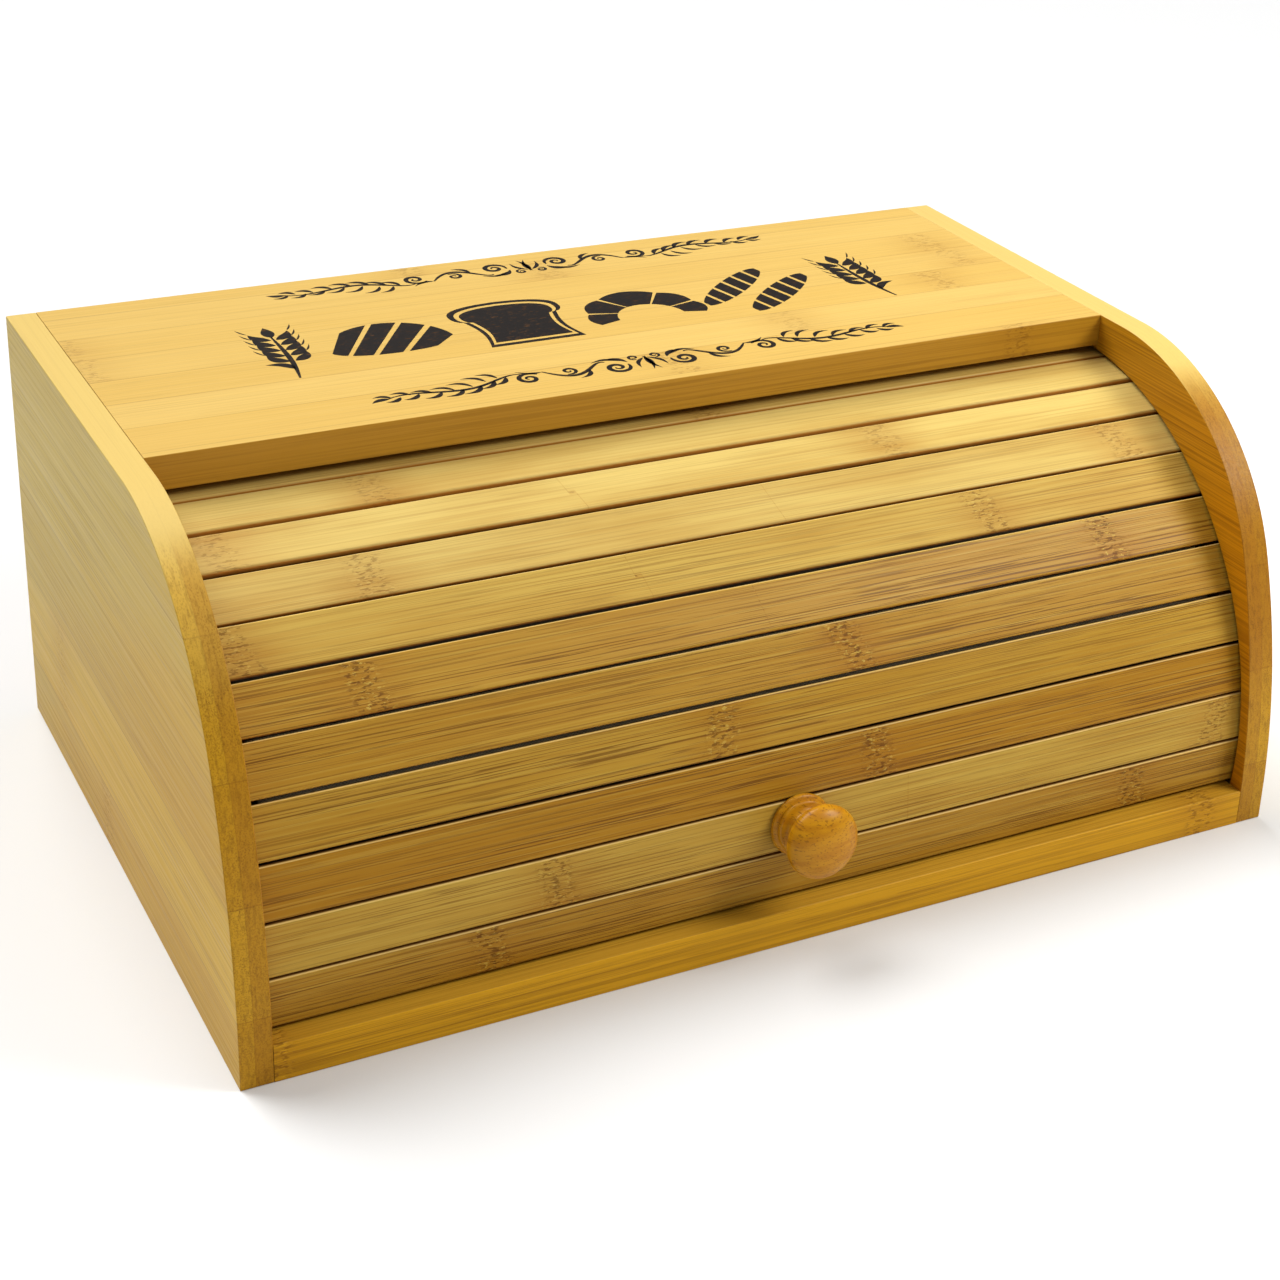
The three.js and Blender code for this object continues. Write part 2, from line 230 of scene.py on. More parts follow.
def inside(points, loop):
    """Which points lie inside a closed loop, by counting the loop's crossings to one side of each."""
    a, b = loop[None], np.roll(loop, -1, axis=0)[None]
    p = points[:, None]
    spans = (a[..., 1] > p[..., 1]) != (b[..., 1] > p[..., 1])
    rise = np.where(b[..., 1] == a[..., 1], 1, b[..., 1] - a[..., 1])
    meets = a[..., 0] + (p[..., 1] - a[..., 1]) / rise * (b[..., 0] - a[..., 0])
    return (spans & (p[..., 0] < meets)).sum(1) % 2 == 1


def filled(loops):
    """Triangles over the area inside the first loop and outside the others, as indices into all the loops."""
    points = np.concatenate(loops)
    edges, first = [], 0
    for loop in loops:
        ids = np.arange(len(loop)) + first
        edges += np.stack([ids, np.roll(ids, -1)], -1).tolist()
        first += len(loop)
    _, _, faces, origins, _, _ = delaunay_2d_cdt([Vector(p) for p in points], edges, [], 1, 1e-6)
    index = np.array([o[0] for o in origins])
    triangles = index[np.array(faces)]
    centres = points[triangles].mean(1)
    keep = inside(centres, loops[0])
    for hole in loops[1:]:
        keep &= ~inside(centres, hole)
    triangles = triangles[keep]
    a, b, c = (points[triangles[:, k]] for k in range(3))
    flip = (b - a)[:, 0] * (c - a)[:, 1] - (b - a)[:, 1] * (c - a)[:, 0] < 0
    triangles[flip] = triangles[flip][:, ::-1]
    return triangles


def plank(outline, x_low, x_high, ease, pockets=(), stations=()):
    """A board: an outline in the YZ plane carried along X, with rounded ends and blind pockets in them.

    Near each end the outline is inset by ease * (1 - sin a) while X moves by ease * (1 - cos a), with a from
    0 to a quarter turn. pockets are (loop, side, depth); side is -1 for the low end and 1 for the high one.
    stations are further places along X that get a ring of points.
    Returns the points and the faces, which point outwards.
    """
    outline = outline if signed_area(outline) > 0 else outline[::-1]
    a = np.linspace(0, np.pi / 2, 4)
    ends = np.stack([x_low + ease * (1 - np.cos(a)), ease * (1 - np.sin(a))], -1)
    middle = np.stack([stations, np.zeros(len(stations))], -1).reshape(-1, 2)
    mirrored = np.stack([x_low + x_high - ends[::-1, 0], ends[::-1, 1]], -1)
    rings = np.concatenate([ends, middle, mirrored])
    points = np.concatenate([
        np.column_stack([np.full(len(outline), x), inset(outline, d)]) for x, d in rings
    ])
    count = len(outline)
    faces = grid_faces(len(rings), count, wrap=True)
    parts = [points]
    total = len(points)
    for side, ring in ((-1, 0), (1, len(rings) - 1)):
        x = x_low if side < 0 else x_high
        loops = [points[ring * count:(ring + 1) * count, 1:]]
        ids = [np.arange(count) + ring * count]
        for loop, where, depth in pockets:
            if where != side:
                continue
            loop = loop if signed_area(loop) > 0 else loop[::-1]
            mouth = np.column_stack([np.full(len(loop), x), loop])
            floor = mouth - [side * depth, 0, 0]
            parts += [mouth, floor]
            wall = grid_faces(2, len(loop), wrap=True, first=total)
            faces += [face[::side] for face in wall]
            bottom = filled([loop]) + total + len(loop)
            faces += bottom[:, ::side].tolist()
            loops.append(loop)
            ids.append(np.arange(len(loop)) + total)
            total += 2 * len(loop)
        cap = np.concatenate(ids)[filled(loops)]
        faces += cap[:, ::side].tolist()
    return np.concatenate(parts), faces


def turned(profile, segments=96):
    """A half profile of (radius, height) points, on the axis at both ends, turned about Z.

    Point (r, h) goes to (r cos t, r sin t, h), with t running evenly round the circle.
    """
    profile = np.asarray(profile, float)
    t = np.linspace(0, 2 * np.pi, segments, endpoint=False)
    rows = profile[profile[:, 0] > 0]
    points = np.stack([
        rows[:, :1] * np.cos(t), rows[:, :1] * np.sin(t), np.repeat(rows[:, 1:], segments, axis=1)
    ], -1).reshape(-1, 3)
    poles = [[0, 0, profile[0, 1]], [0, 0, profile[-1, 1]]]
    faces = grid_faces(len(rows), segments, wrap=True) + pole_faces(len(rows), segments)
    return np.concatenate([points, poles]), faces


def on_door(points, angle, radius):
    """Points with X along the box, Y up the door and Z outwards, moved to a place on the door's circle.

    The origin goes to the given radius from the roll axis; Y turns to the tangent and Z to the radius there.
    """
    x, up, out = np.asarray(points).T
    out = out + radius
    y = ROLL_AXIS[0] - out * np.cos(angle) + up * np.sin(angle)
    z = ROLL_AXIS[1] + out * np.sin(angle) + up * np.cos(angle)
    return np.stack([x, y, z], -1)


# ---- Shader building ----


class Nodes:
    """A material's node tree with short calls for the nodes that the finishes here use."""

    def __init__(self, name):
        self.material = bpy.data.materials.new(name)
        self.material.use_nodes = True
        self.tree = self.material.node_tree
        self.shader = self.tree.nodes["Principled BSDF"]

    def add(self, kind, **settings):
        node = self.tree.nodes.new("ShaderNode" + kind)
        for key, value in settings.items():
            setattr(node, key, value)
        return node

    def link(self, value, socket):
        if isinstance(value, bpy.types.NodeSocket):
            self.tree.links.new(value, socket)
        else:
            socket.default_value = value

    def math(self, operation, *values):
        node = self.add("Math", operation=operation)
        for value, socket in zip(values, node.inputs):
            self.link(value, socket)
        return node.outputs[0]

    def times(self, *values):
        product = values[0]
        for value in values[1:]:
            product = self.math("MULTIPLY", product, value)
        return product

    def smooth(self, value, low, high):
        """0 below low, 1 above high, smooth between; the other way round where low is above high."""
        node = self.add("MapRange", interpolation_type="SMOOTHSTEP")
        up = low < high
        for v, socket in zip((value, min(low, high), max(low, high), 1 - up, up), node.inputs):
            self.link(float(v) if isinstance(v, (bool, int)) else v, socket)
        return node.outputs[0]

    def scaled(self, value, low, high, to_low, to_high):
        node = self.add("MapRange")
        for v, socket in zip((value, low, high, to_low, to_high), node.inputs):
            self.link(v, socket)
        return node.outputs[0]

    def vector(self, x, y, z):
        node = self.add("CombineXYZ")
        for v, socket in zip((x, y, z), node.inputs):
            self.link(v, socket)
        return node.outputs[0]

    def stretched(self, place, per_metre):
        """Three coordinates in metres, each times its own number of waves in a metre."""
        return self.vector(*(self.times(value, waves) for value, waves in zip(place, per_metre)))

    def noise(self, place, per_metre=(1.0, 1.0, 1.0), detail=2.0, roughness=0.5):
        """Noise with its own number of waves in a metre along each coordinate."""
        node = self.add("TexNoise")
        self.link(self.stretched(place, per_metre), node.inputs["Vector"])
        node.inputs["Scale"].default_value = 1.0
        node.inputs["Detail"].default_value = detail
        node.inputs["Roughness"].default_value = roughness
        return node.outputs["Fac"]

    def random(self, value, seed):
        """A number from 0 to 1 that depends only on a whole number and a seed."""
        node = self.add("TexWhiteNoise", noise_dimensions="2D")
        self.link(self.vector(value, seed, 0.0), node.inputs["Vector"])
        return node.outputs["Value"]

    def mix(self, fac, a, b, blend="MIX"):
        node = self.add("Mix", data_type="RGBA", blend_type=blend)
        self.link(fac, node.inputs[0])
        self.link(a, node.inputs[6])
        self.link(b, node.inputs[7])
        return node.outputs[2]

    def tinted(self, base, tint):
        """A colour times a tint, channel by channel."""
        return self.mix(1.0, base, tint, "MULTIPLY")

    def give(self, name, value):
        """Gives one of the shader's inputs a number, a colour or another node's output."""
        self.link(value, self.shader.inputs[name])

    def bump(self, height, distance, strength):
        node = self.add("Bump")
        node.inputs["Distance"].default_value = distance
        node.inputs["Strength"].default_value = strength
        self.link(height, node.inputs["Height"])
        return node.outputs[0]

    def split(self, vector):
        """A vector's three numbers."""
        node = self.add("SeparateXYZ")
        self.link(vector, node.inputs[0])
        return node.outputs

    def object_coordinates(self):
        return self.split(self.add("TexCoord").outputs["Object"])

    def stored(self, name, output="Vector"):
        node = self.add("Attribute", attribute_name=name)
        return node.outputs[output]


def colour(red, green, blue):
    """A colour given as it looks on a screen, from 0 to 255, as the linear values that a shader wants."""
    c = np.array([red, green, blue]) / 255
    return (*np.where(c <= 0.04045, c / 12.92, ((c + 0.055) / 1.055) ** 2.4), 1.0)


def bamboo(name, light, dark, strip_width, fibre=0.5, node_mark=0.8, variety=0.5, placed_nodes=False):
    """The colour of bamboo strips glued side by side.

    The attribute "grain" holds each point's distance along the grain, across the strips and through their
    thickness, in metres. A strip's number is the whole part of the distance across over the strip's width;
    it picks the strip's tone, its streaks and the places of its nodes, the raised rings of the cane. Fibres
    are noise stretched many times along the grain. At a node the fibres break up into short dark and pale
    dashes inside a brown patch. Where placed_nodes is set, the attribute "from_node" holds the distance to
    the nearest node instead, and "tone" how dark the strip is.
    """
    n = Nodes(name)
    along, across, depth = n.split(n.stored("grain"))
    strips = n.math("DIVIDE", across, strip_width)
    strip = n.math("FLOOR", strips)
    offset = n.times(n.random(strip, 5.3), 9.0)
    shifted = n.math("ADD", along, offset)

    def stretched(per_metre_along, per_metre_across, detail, rough=0.5):
        """Noise with its own number of waves in a metre along the grain, and across and through it."""
        per_metre = (per_metre_along, per_metre_across, per_metre_across)
        return n.noise((shifted, across, depth), per_metre, detail, rough)

    cloud = stretched(11.0, 60.0, 3.0)
    streak = stretched(6.0, 800.0, 3.0, 0.6)
    crowd = n.smooth(stretched(5.0, 90.0, 1.0), 0.36, 0.62)
    fine = stretched(24.0, 1500.0, 2.0)
    long = stretched(7.0, 1800.0, 2.0)
    thin = n.math("MAXIMUM", n.smooth(fine, 0.56, 0.64), n.smooth(long, 0.54, 0.62))
    thin = n.times(thin, fibre)
    lines = n.times(thin, n.scaled(crowd, 0.0, 1.0, 0.5, 1.0))

    if placed_nodes:
        # Fibres show bolder on darker strips; on the lower slats that darkness is partly painted shade.
        tone = n.stored("tone", "Fac")
        lines = n.times(lines, n.scaled(tone, 0.1, 0.75, 0.22, 1.0))
        distance = n.math("ABSOLUTE", n.stored("from_node", "Fac"))
    else:
        # Nodes lie a third of a metre or so apart, at a place that each strip picks for itself.
        tone = n.random(strip, 1.7)
        spacing = 0.36
        turn = n.math("ADD", n.math("DIVIDE", along, spacing), n.random(strip, 8.1))
        turn = n.math("SUBTRACT", n.math("FRACT", turn), 0.5)
        distance = n.times(n.math("ABSOLUTE", turn), spacing)
    wobble = n.noise((across, offset, 0.0), (280.0, 1.0, 1.0))
    from_node = n.math("ABSOLUTE", n.math("ADD", distance, n.scaled(wobble, 0.0, 1.0, -0.003, 0.003)))
    halo = n.times(n.smooth(from_node, 0.024, 0.002), n.scaled(cloud, 0.3, 0.7, 0.4, 1.0))
    band = n.smooth(from_node, 0.0085, 0.003)

    def dashes(per_metre_along, per_metre_across, low, high):
        """Short marks inside a node's band, bolder on a dark strip."""
        dash = stretched(per_metre_along, per_metre_across, 2.0, 0.6)
        marked = n.times(n.smooth(dash, low, high), band)
        return n.times(marked, n.scaled(tone, 0.0, 0.8, 0.5 * node_mark, node_mark))

    dark_dashes = dashes(330.0, 1100.0, 0.52, 0.6)
    pale_dashes = dashes(420.0, 900.0, 0.57, 0.66)

    base = n.mix(n.scaled(tone, 0.0, 1.0, 0.5 - 0.5 * variety, 0.5 + 0.5 * variety), light, dark)
    base = n.mix(n.times(n.smooth(cloud, 0.35, 0.7), 0.25 * fibre + 0.1), base, dark)
    base = n.mix(n.times(n.smooth(streak, 0.45, 0.68), fibre * 0.2), base, NODE_BROWN)
    base = n.mix(n.times(n.smooth(streak, 0.5, 0.34), fibre * 0.22), base, light)
    base = n.mix(n.times(lines, 0.75), base, FIBRE_BROWN)
    base = n.mix(n.times(halo, 0.42 * node_mark), base, NODE_BROWN)
    base = n.mix(n.times(pale_dashes, 0.5), base, light)
    base = n.mix(n.times(dark_dashes, 0.7), base, FIBRE_BROWN)

    # The glue line between two strips.
    edge = n.math("ABSOLUTE", n.math("SUBTRACT", n.math("FRACT", strips), 0.5))
    glue = n.smooth(n.times(n.math("SUBTRACT", 0.5, edge), strip_width), 0.0003, 0.0001)
    base = n.mix(n.times(glue, 0.3), base, FIBRE_BROWN)
    return n, base, {"streak": streak, "lines": lines, "dark": dark_dashes, "pale": pale_dashes,
                     "along": along, "across": across, "depth": depth, "strips": strips}


def lacquered(n, base, marks, roughness=0.4):
    """Ends a bamboo finish: satin lacquer that sinks a little over the fibres, and fine relief."""
    n.give("Base Color", base)
    rough = n.scaled(marks["streak"], 0.3, 0.7, roughness - 0.05, roughness + 0.12)
    n.give("Roughness", n.math("ADD", rough, n.times(marks["dark"], 0.15)))
    relief = n.times(n.math("SUBTRACT", marks["pale"], marks["lines"]), 0.6)
    relief = n.math("SUBTRACT", relief, n.times(marks["dark"], 0.8))
    n.give("Normal", n.bump(relief, 0.00012, 0.7))
    n.give("Specular IOR Level", 0.12)
    n.give("Coat Weight", 0.06)
    n.give("Coat Roughness", 0.3)
    return n.material


def facing(n, axis, low, high):
    """From 0 to 1 as a surface turns to face along an axis, either way; low and high are cosines."""
    normal = n.split(n.add("TexCoord").outputs["Normal"])
    return n.smooth(n.math("ABSOLUTE", normal["XYZ".index(axis)]), low, high)


def plain_bamboo(name, light, dark, strip_width, **looks):
    """Bamboo with the same finish all round."""
    n, base, marks = bamboo(name, light, dark, strip_width, **looks)
    return lacquered(n, base, marks)


def board_bamboo(name, light, dark, strip_width, edge_tint, **looks):
    """Bamboo of a flat board; its long edges, planed across the plies, are a deeper amber than its faces."""
    n, base, marks = bamboo(name, light, dark, strip_width, **looks)
    # On the top board this edge tint is partly painted shade on its upright front.
    amber = n.tinted(base, edge_tint)
    amber = n.mix(n.times(n.smooth(marks["streak"], 0.46, 0.6), 0.2), amber, FIBRE_BROWN)
    return lacquered(n, n.mix(facing(n, "Y", 0.3, 0.8), base, amber), marks)


def slat_bamboo():
    """The slats' bamboo: painted shade down into the joints, and a painted highlight on the upper edges."""
    n, base, marks = bamboo("slat_bamboo", SLAT_LIGHT, SLAT_DARK, 1.0, fibre=0.95, node_mark=1.0,
                            variety=1.0, placed_nodes=True)
    is_upper = n.math("GREATER_THAN", n.math("FRACT", marks["strips"]), 0.5)
    is_dark = n.smooth(n.stored("tone", "Fac"), 0.2, 0.55)
    # Darker slats also lose blue: partly their own colour, partly painted shade.
    base = n.mix(is_dark, base, n.tinted(base, DARK_STRIP_TINT))
    # Painted highlight: the upper edge's round-over is mixed towards a pale colour.
    edge_highlight = n.times(n.smooth(marks["depth"], -0.00004, -0.0002), is_upper)
    base = n.mix(n.times(edge_highlight, 0.6), base, PAINTED_EDGE_HIGHLIGHT)
    # Painted shade: the side faces turn brown into the joint, darker on the upper side face.
    side = n.mix(is_upper, LOWER_SIDE, UPPER_SIDE)
    base = n.mix(n.times(n.smooth(marks["depth"], -0.0002, -0.0009), 0.85), base, side)
    # Painted shade: near black deep in the joint.
    return lacquered(n, n.mix(n.smooth(marks["depth"], -0.0015, -0.003), base, PAINTED_JOINT_SHADE), marks)


def side_bamboo():
    """The side panels' bamboo: an outer and an inner ply, and end grain where an edge cuts the fibres.

    The attribute's third number is the distance outwards from the panel's inner face.
    """
    n, outer, marks = bamboo("side_bamboo", OLIVE, OLIVE_DARK, 0.038, fibre=0.3, node_mark=0.35)
    depth, across, along = marks["depth"], marks["across"], marks["along"]
    # The colour turns from pale to golden on a slant, from the upper back to the lower front.
    x, y, z = n.object_coordinates()
    slant = n.math("ADD", z, n.times(y, 0.47))
    cloudy = n.noise((y, z, x), (8.0, 30.0, 1.0))
    slant = n.math("ADD", slant, n.scaled(cloudy, 0.3, 0.7, -0.012, 0.012))
    strip = n.math("FLOOR", marks["strips"])
    slant = n.math("ADD", slant, n.scaled(n.random(strip, 3.3), 0.0, 1.0, -0.025, 0.025))
    outer = n.mix(n.smooth(slant, 0.14, 0.03), outer, n.tinted(outer, LOWER_TINT))
    ply = n.smooth(depth, PLY_SEAM + 0.0001, PLY_SEAM - 0.0001)
    # Painted shade: the panel's inner face, turned into the box, is darker and more orange than its outer
    # face.
    shaded_inner_face = n.tinted(outer, INNER_FACE_SHADE_TINT)
    shaded_inner_face = n.mix(n.times(n.smooth(marks["streak"], 0.42, 0.6), 0.32), shaded_inner_face, FIBRE_BROWN)
    base = n.mix(n.times(ply, facing(n, "X", 0.5, 0.9)), outer, shaded_inner_face)
    seam = n.smooth(n.math("ABSOLUTE", n.math("SUBTRACT", depth, PLY_SEAM)), 0.0003, 0.00005)
    base = n.mix(n.times(seam, 0.22), base, FIBRE_BROWN)

    # The top edge is as pale as the top board.
    base = n.mix(n.times(facing(n, "Z", 0.5, 0.95), 0.75), base, HONEY)
    on_end = facing(n, "Y", 0.3, 0.6)
    # The cut ends of the fibre bundles are dark dots, less than a millimetre apart.
    bundles = n.add("TexVoronoi", feature="F1")
    bundles.inputs["Scale"].default_value = 1.0
    n.link(n.stretched((across, depth, along), (1500.0, 1500.0, 15.0)), bundles.inputs["Vector"])
    patchy = n.noise((across, depth, 0.0), (90.0, 90.0, 1.0))
    dots = n.times(n.smooth(bundles.outputs["Distance"], 0.5, 0.15), on_end)
    dots = n.times(dots, n.scaled(patchy, 0.3, 0.7, 0.15, 0.6))
    base = n.mix(on_end, base, n.tinted(base, END_TINT))
    # Painted shade: the right panel's front edge turns darker from 30 mm up, fully from 90 mm.
    painted_edge_shade = n.times(n.math("GREATER_THAN", x, 0.0), n.smooth(z, 0.03, 0.09))
    base = n.mix(n.times(painted_edge_shade, on_end, 0.65), base, NODE_BROWN)
    base = n.mix(n.times(on_end, ply, 0.35), base, NODE_BROWN)
    mottle = n.noise((across, depth, along), (260.0, 900.0, 60.0), 3.0, 0.7)
    base = n.mix(n.times(n.smooth(mottle, 0.45, 0.66), on_end, 0.3), base, FIBRE_BROWN)
    base = n.mix(n.times(dots, 0.75), base, FIBRE_BROWN)
    return lacquered(n, base, marks)


PLY_SEAM = 0.0058  # how far the side panels' seam between plies lies from their inner face, in metres
NODE_BROWN = colour(150, 94, 16)
FIBRE_BROWN = colour(88, 46, 6)
LOWER_SIDE = colour(182, 112, 36)
UPPER_SIDE = colour(96, 50, 12)
PAINTED_JOINT_SHADE = colour(30, 13, 4)
PAINTED_EDGE_HIGHLIGHT = colour(244, 212, 132)
DARK_STRIP_TINT = (1.0, 0.98, 0.6, 1.0)
HONEY = colour(212, 182, 108)
HONEY_DARK = colour(196, 156, 70)
GOLD = colour(212, 166, 62)
GOLD_DARK = colour(184, 136, 30)
BACK_LIGHT = colour(204, 172, 98)
BACK_DARK = colour(180, 140, 64)
SLAT_LIGHT = colour(205, 179, 103)
SLAT_DARK = colour(158, 109, 18)
OLIVE = colour(202, 180, 92)
OLIVE_DARK = colour(178, 148, 54)
LOWER_TINT = (1.05, 0.86, 0.32, 1.0)
# The top board's edges: partly their own deeper amber, partly painted shade.
LIP_TINT = (0.71, 0.54, 0.15, 1.0)
BASE_TINT = (1.12, 1.04, 0.24, 1.0)
INNER_FACE_SHADE_TINT = (1.05, 0.68, 0.15, 1.0)
END_TINT = (0.92, 0.8, 0.42, 1.0)

BACK_BAMBOO = plain_bamboo("back_bamboo", BACK_LIGHT, BACK_DARK, 0.019, fibre=0.4, node_mark=0.6)
TOP_BAMBOO = board_bamboo("honey_bamboo", HONEY, HONEY_DARK, 0.022, LIP_TINT, fibre=0.18, node_mark=0.45,
                          variety=0.3)
BOARD_BAMBOO = board_bamboo("gold_bamboo", GOLD, GOLD_DARK, 0.024, BASE_TINT, fibre=0.45, node_mark=0.7,
                            variety=0.4)
SIDE_BAMBOO = side_bamboo()
SLAT_BAMBOO = slat_bamboo()


def turned_wood():
    """The knob's wood: grain lines along its axis, and the ends of year rings across its face."""
    n = Nodes("turned_wood")
    x, y, z = n.object_coordinates()
    rings = n.noise((x, y, z), (90.0, 25.0, 420.0), 3.0)
    pores = n.noise((x, y, z), (900.0, 130.0, 1900.0))
    base = n.mix(n.smooth(rings, 0.38, 0.62), KNOB_LIGHT, KNOB_DARK)
    base = n.mix(n.times(n.smooth(pores, 0.56, 0.66), 0.5), base, FIBRE_BROWN)
    n.give("Base Color", base)
    n.give("Roughness", n.scaled(rings, 0.3, 0.7, 0.3, 0.42))
    n.give("Normal", n.bump(pores, 0.00004, 0.5))
    n.give("Specular IOR Level", 0.16)
    n.give("Coat Weight", 0.08)
    n.give("Coat Roughness", 0.2)
    return n.material


def dowel_wood():
    """Dry beech: short dark flecks and pale streaks along the dowel."""
    n = Nodes("dowel_beech")
    x, y, z = n.object_coordinates()
    streaks = n.noise((x, y, z), (60.0, 900.0, 900.0), 3.0)
    flecks = n.noise((x, y, z), (500.0, 2600.0, 2600.0), 1.0)
    base = n.mix(n.smooth(streaks, 0.35, 0.65), BEECH, BEECH_DARK)
    base = n.mix(n.times(n.smooth(flecks, 0.62, 0.7), 0.6), base, NODE_BROWN)
    n.give("Base Color", base)
    n.give("Roughness", n.scaled(streaks, 0.3, 0.7, 0.6, 0.75))
    n.give("Normal", n.bump(streaks, 0.00005, 0.5))
    return n.material


def canvas():
    """Plain-woven cotton: threads that pass over and under each other, one hump each, with uneven yarn.

    The attribute "weave" holds the distance along the cloth's width and its length, in metres.
    """
    n = Nodes("backing_canvas")
    width, length, _ = n.split(n.stored("weave"))
    turn = 2 * np.pi / THREAD_SPACING
    across = n.math("SINE", n.times(width, turn))
    along = n.math("SINE", n.times(length, turn))
    hump = n.scaled(n.times(across, along), -1.0, 1.0, 0.0, 1.0)
    yarn = n.noise((width, length, 0.0), (60.0, 700.0, 1.0), 3.0)
    base = n.mix(n.smooth(yarn, 0.35, 0.65), COTTON, COTTON_DARK)
    # Painted shade darkens the hollows between the humps.
    hollow = n.times(n.smooth(hump, 0.5, 0.0), 0.45)
    n.give("Base Color", n.mix(hollow, base, COTTON_SHADE))
    n.give("Normal", n.bump(hump, 0.00015, 0.8))
    n.give("Roughness", 0.95)
    n.give("Sheen Weight", 0.2)
    return n.material


def zinc_plate():
    """Zinc-plated steel: pale spangles with a faint yellow cast, and turning marks."""
    n = Nodes("zinc_plate")
    x, y, z = n.object_coordinates()
    spangle = n.add("TexVoronoi", feature="F1")
    n.link(n.vector(x, y, z), spangle.inputs["Vector"])
    spangle.inputs["Scale"].default_value = 1500
    scuff = n.noise((x, y, z), (2600.0, 2600.0, 2600.0), 3.0)
    spangled = n.mix(n.smooth(spangle.outputs["Distance"], 0.2, 0.6), ZINC, ZINC_DARK)
    n.give("Base Color", spangled)
    n.give("Roughness", n.scaled(scuff, 0.3, 0.7, 0.22, 0.45))
    n.give("Normal", n.bump(scuff, 0.00002, 0.5))
    n.give("Metallic", 1.0)
    return n.material


def printing_ink():
    """Near-black ink, thin enough in places for the wood's fibres to show as brown pinholes."""
    n = Nodes("printing_ink")
    x, y, z = n.object_coordinates()
    pinholes = n.noise((x, y, z), (260.0, 2200.0, 1.0))
    base = n.mix(n.times(n.smooth(pinholes, 0.62, 0.72), 0.35), INK, NODE_BROWN)
    n.give("Base Color", base)
    n.give("Roughness", n.scaled(pinholes, 0.3, 0.7, 0.3, 0.45))
    n.give("Specular IOR Level", 0.15)
    return n.material


THREAD_SPACING = 0.0011
KNOB_LIGHT = colour(188, 130, 14)
KNOB_DARK = colour(173, 113, 8)
BEECH = colour(216, 186, 134)
BEECH_DARK = colour(194, 158, 104)
COTTON = colour(206, 192, 160)
COTTON_DARK = colour(190, 172, 136)
COTTON_SHADE = colour(130, 112, 80)
ZINC = (0.72, 0.72, 0.7, 1.0)
ZINC_DARK = (0.55, 0.56, 0.56, 1.0)
INK = colour(20, 13, 9)
KNOB_WOOD = turned_wood()
DOWEL_WOOD = dowel_wood()
CLOTH = canvas()
STEEL = zinc_plate()
PRINT = printing_ink()


# ---- Cabinet ----


def door_arc(radius, start, end, count):
    """Points on a circle about the roll axis, from one angle to another."""
    a = np.linspace(start, end, count)
    return ROLL_AXIS + radius * np.stack([-np.cos(a), np.sin(a)], -1)


def side_outline():
    """The side panel's outline: base, upright front, two arcs that run into each other, top and back."""
    front, back = SIDE_LOW[1], SIDE_HIGH[1]
    height = SIDE_HIGH[2]
    rise = LOWER_ARC_RADIUS * np.sin(LOWER_ARC_TURN)
    upper_radius = (height - FRONT_UPRIGHT - rise) / (1 - np.sin(LOWER_ARC_TURN))
    a = np.linspace(0, LOWER_ARC_TURN, 24)
    lower = [front, FRONT_UPRIGHT] + LOWER_ARC_RADIUS * np.stack([1 - np.cos(a), np.sin(a)], -1)
    b = np.linspace(LOWER_ARC_TURN, np.pi / 2, 64)[1:]
    centre = lower[-1] + upper_radius * np.array([np.cos(LOWER_ARC_TURN), -np.sin(LOWER_ARC_TURN)])
    upper = centre + upper_radius * np.stack([-np.cos(b), np.sin(b)], -1)
    corners = [upper[-1], [back, height], [back, 0], [front, 0], lower[0]]
    base = rounded(corners, [0, FOOT_EASE, FOOT_EASE, FOOT_EASE, 0])
    return np.concatenate([base[1:-1], lower, upper])


def groove_outline():
    """The groove: an outer and an inner arc about the roll axis, joined by half rounds at both ends."""
    half = (GROOVE_OUTER_RADIUS - GROOVE_INNER_RADIUS) / 2
    middle = GROOVE_INNER_RADIUS + half
    a = np.linspace(0, np.pi, 14)[1:-1, None]

    def half_round(angle, way):
        radial = np.array([-np.cos(angle), np.sin(angle)])
        along = np.array([np.sin(angle), np.cos(angle)])
        return ROLL_AXIS + (middle + way * half * np.cos(a)) * radial + way * half * np.sin(a) * along

    return np.concatenate([
        door_arc(GROOVE_OUTER_RADIUS, DOOR_START, GROOVE_END, 120),
        half_round(GROOVE_END, 1),
        door_arc(GROOVE_INNER_RADIUS, GROOVE_END, DOOR_START, 120),
        half_round(DOOR_START, -1),
    ])


def dowel_pockets(board, side, into_side):
    """The dowel holes at one end of a board, as pockets in the side panel or, else, in the board."""
    pockets = []
    label = "left" if side < 0 else "right"
    for name in DOWELS:
        if not name.startswith(board) or label not in name:
            continue
        low, high = node_box(name)
        centre = (low + high)[1:] / 2
        radius = (high - low)[2] / 2 + DOWEL_HOLE_GAP
        reach = high[0] - INNER if side > 0 else -INNER - low[0]
        depth = (reach if into_side else (high - low)[0] - reach) + DOWEL_HOLE_GAP
        a = np.linspace(0, 2 * np.pi, 24, endpoint=False)
        loop = centre + radius * np.stack([np.cos(a), np.sin(a)], -1)
        pockets.append((loop, -side if into_side else side, depth))
    return pockets


def back_slot():
    """The back panel's slot in a side panel, as a rectangle a little larger than the panel's edge."""
    low = BACK_LOW[1:] - BACK_PANEL_GAP
    high = BACK_HIGH[1:] + BACK_PANEL_GAP
    return np.array([low, [high[0], low[1]], high, [low[0], high[1]]])


def grain_of(points, axis, shift=(0, 0, 0)):
    """Distances along the grain, across the strips and through them, in metres; axis is the grain's axis."""
    order = {"x": [0, 1, 2], "y": [1, 2, 0]}[axis]
    return np.asarray(points)[:, order] * MM + np.array(shift)


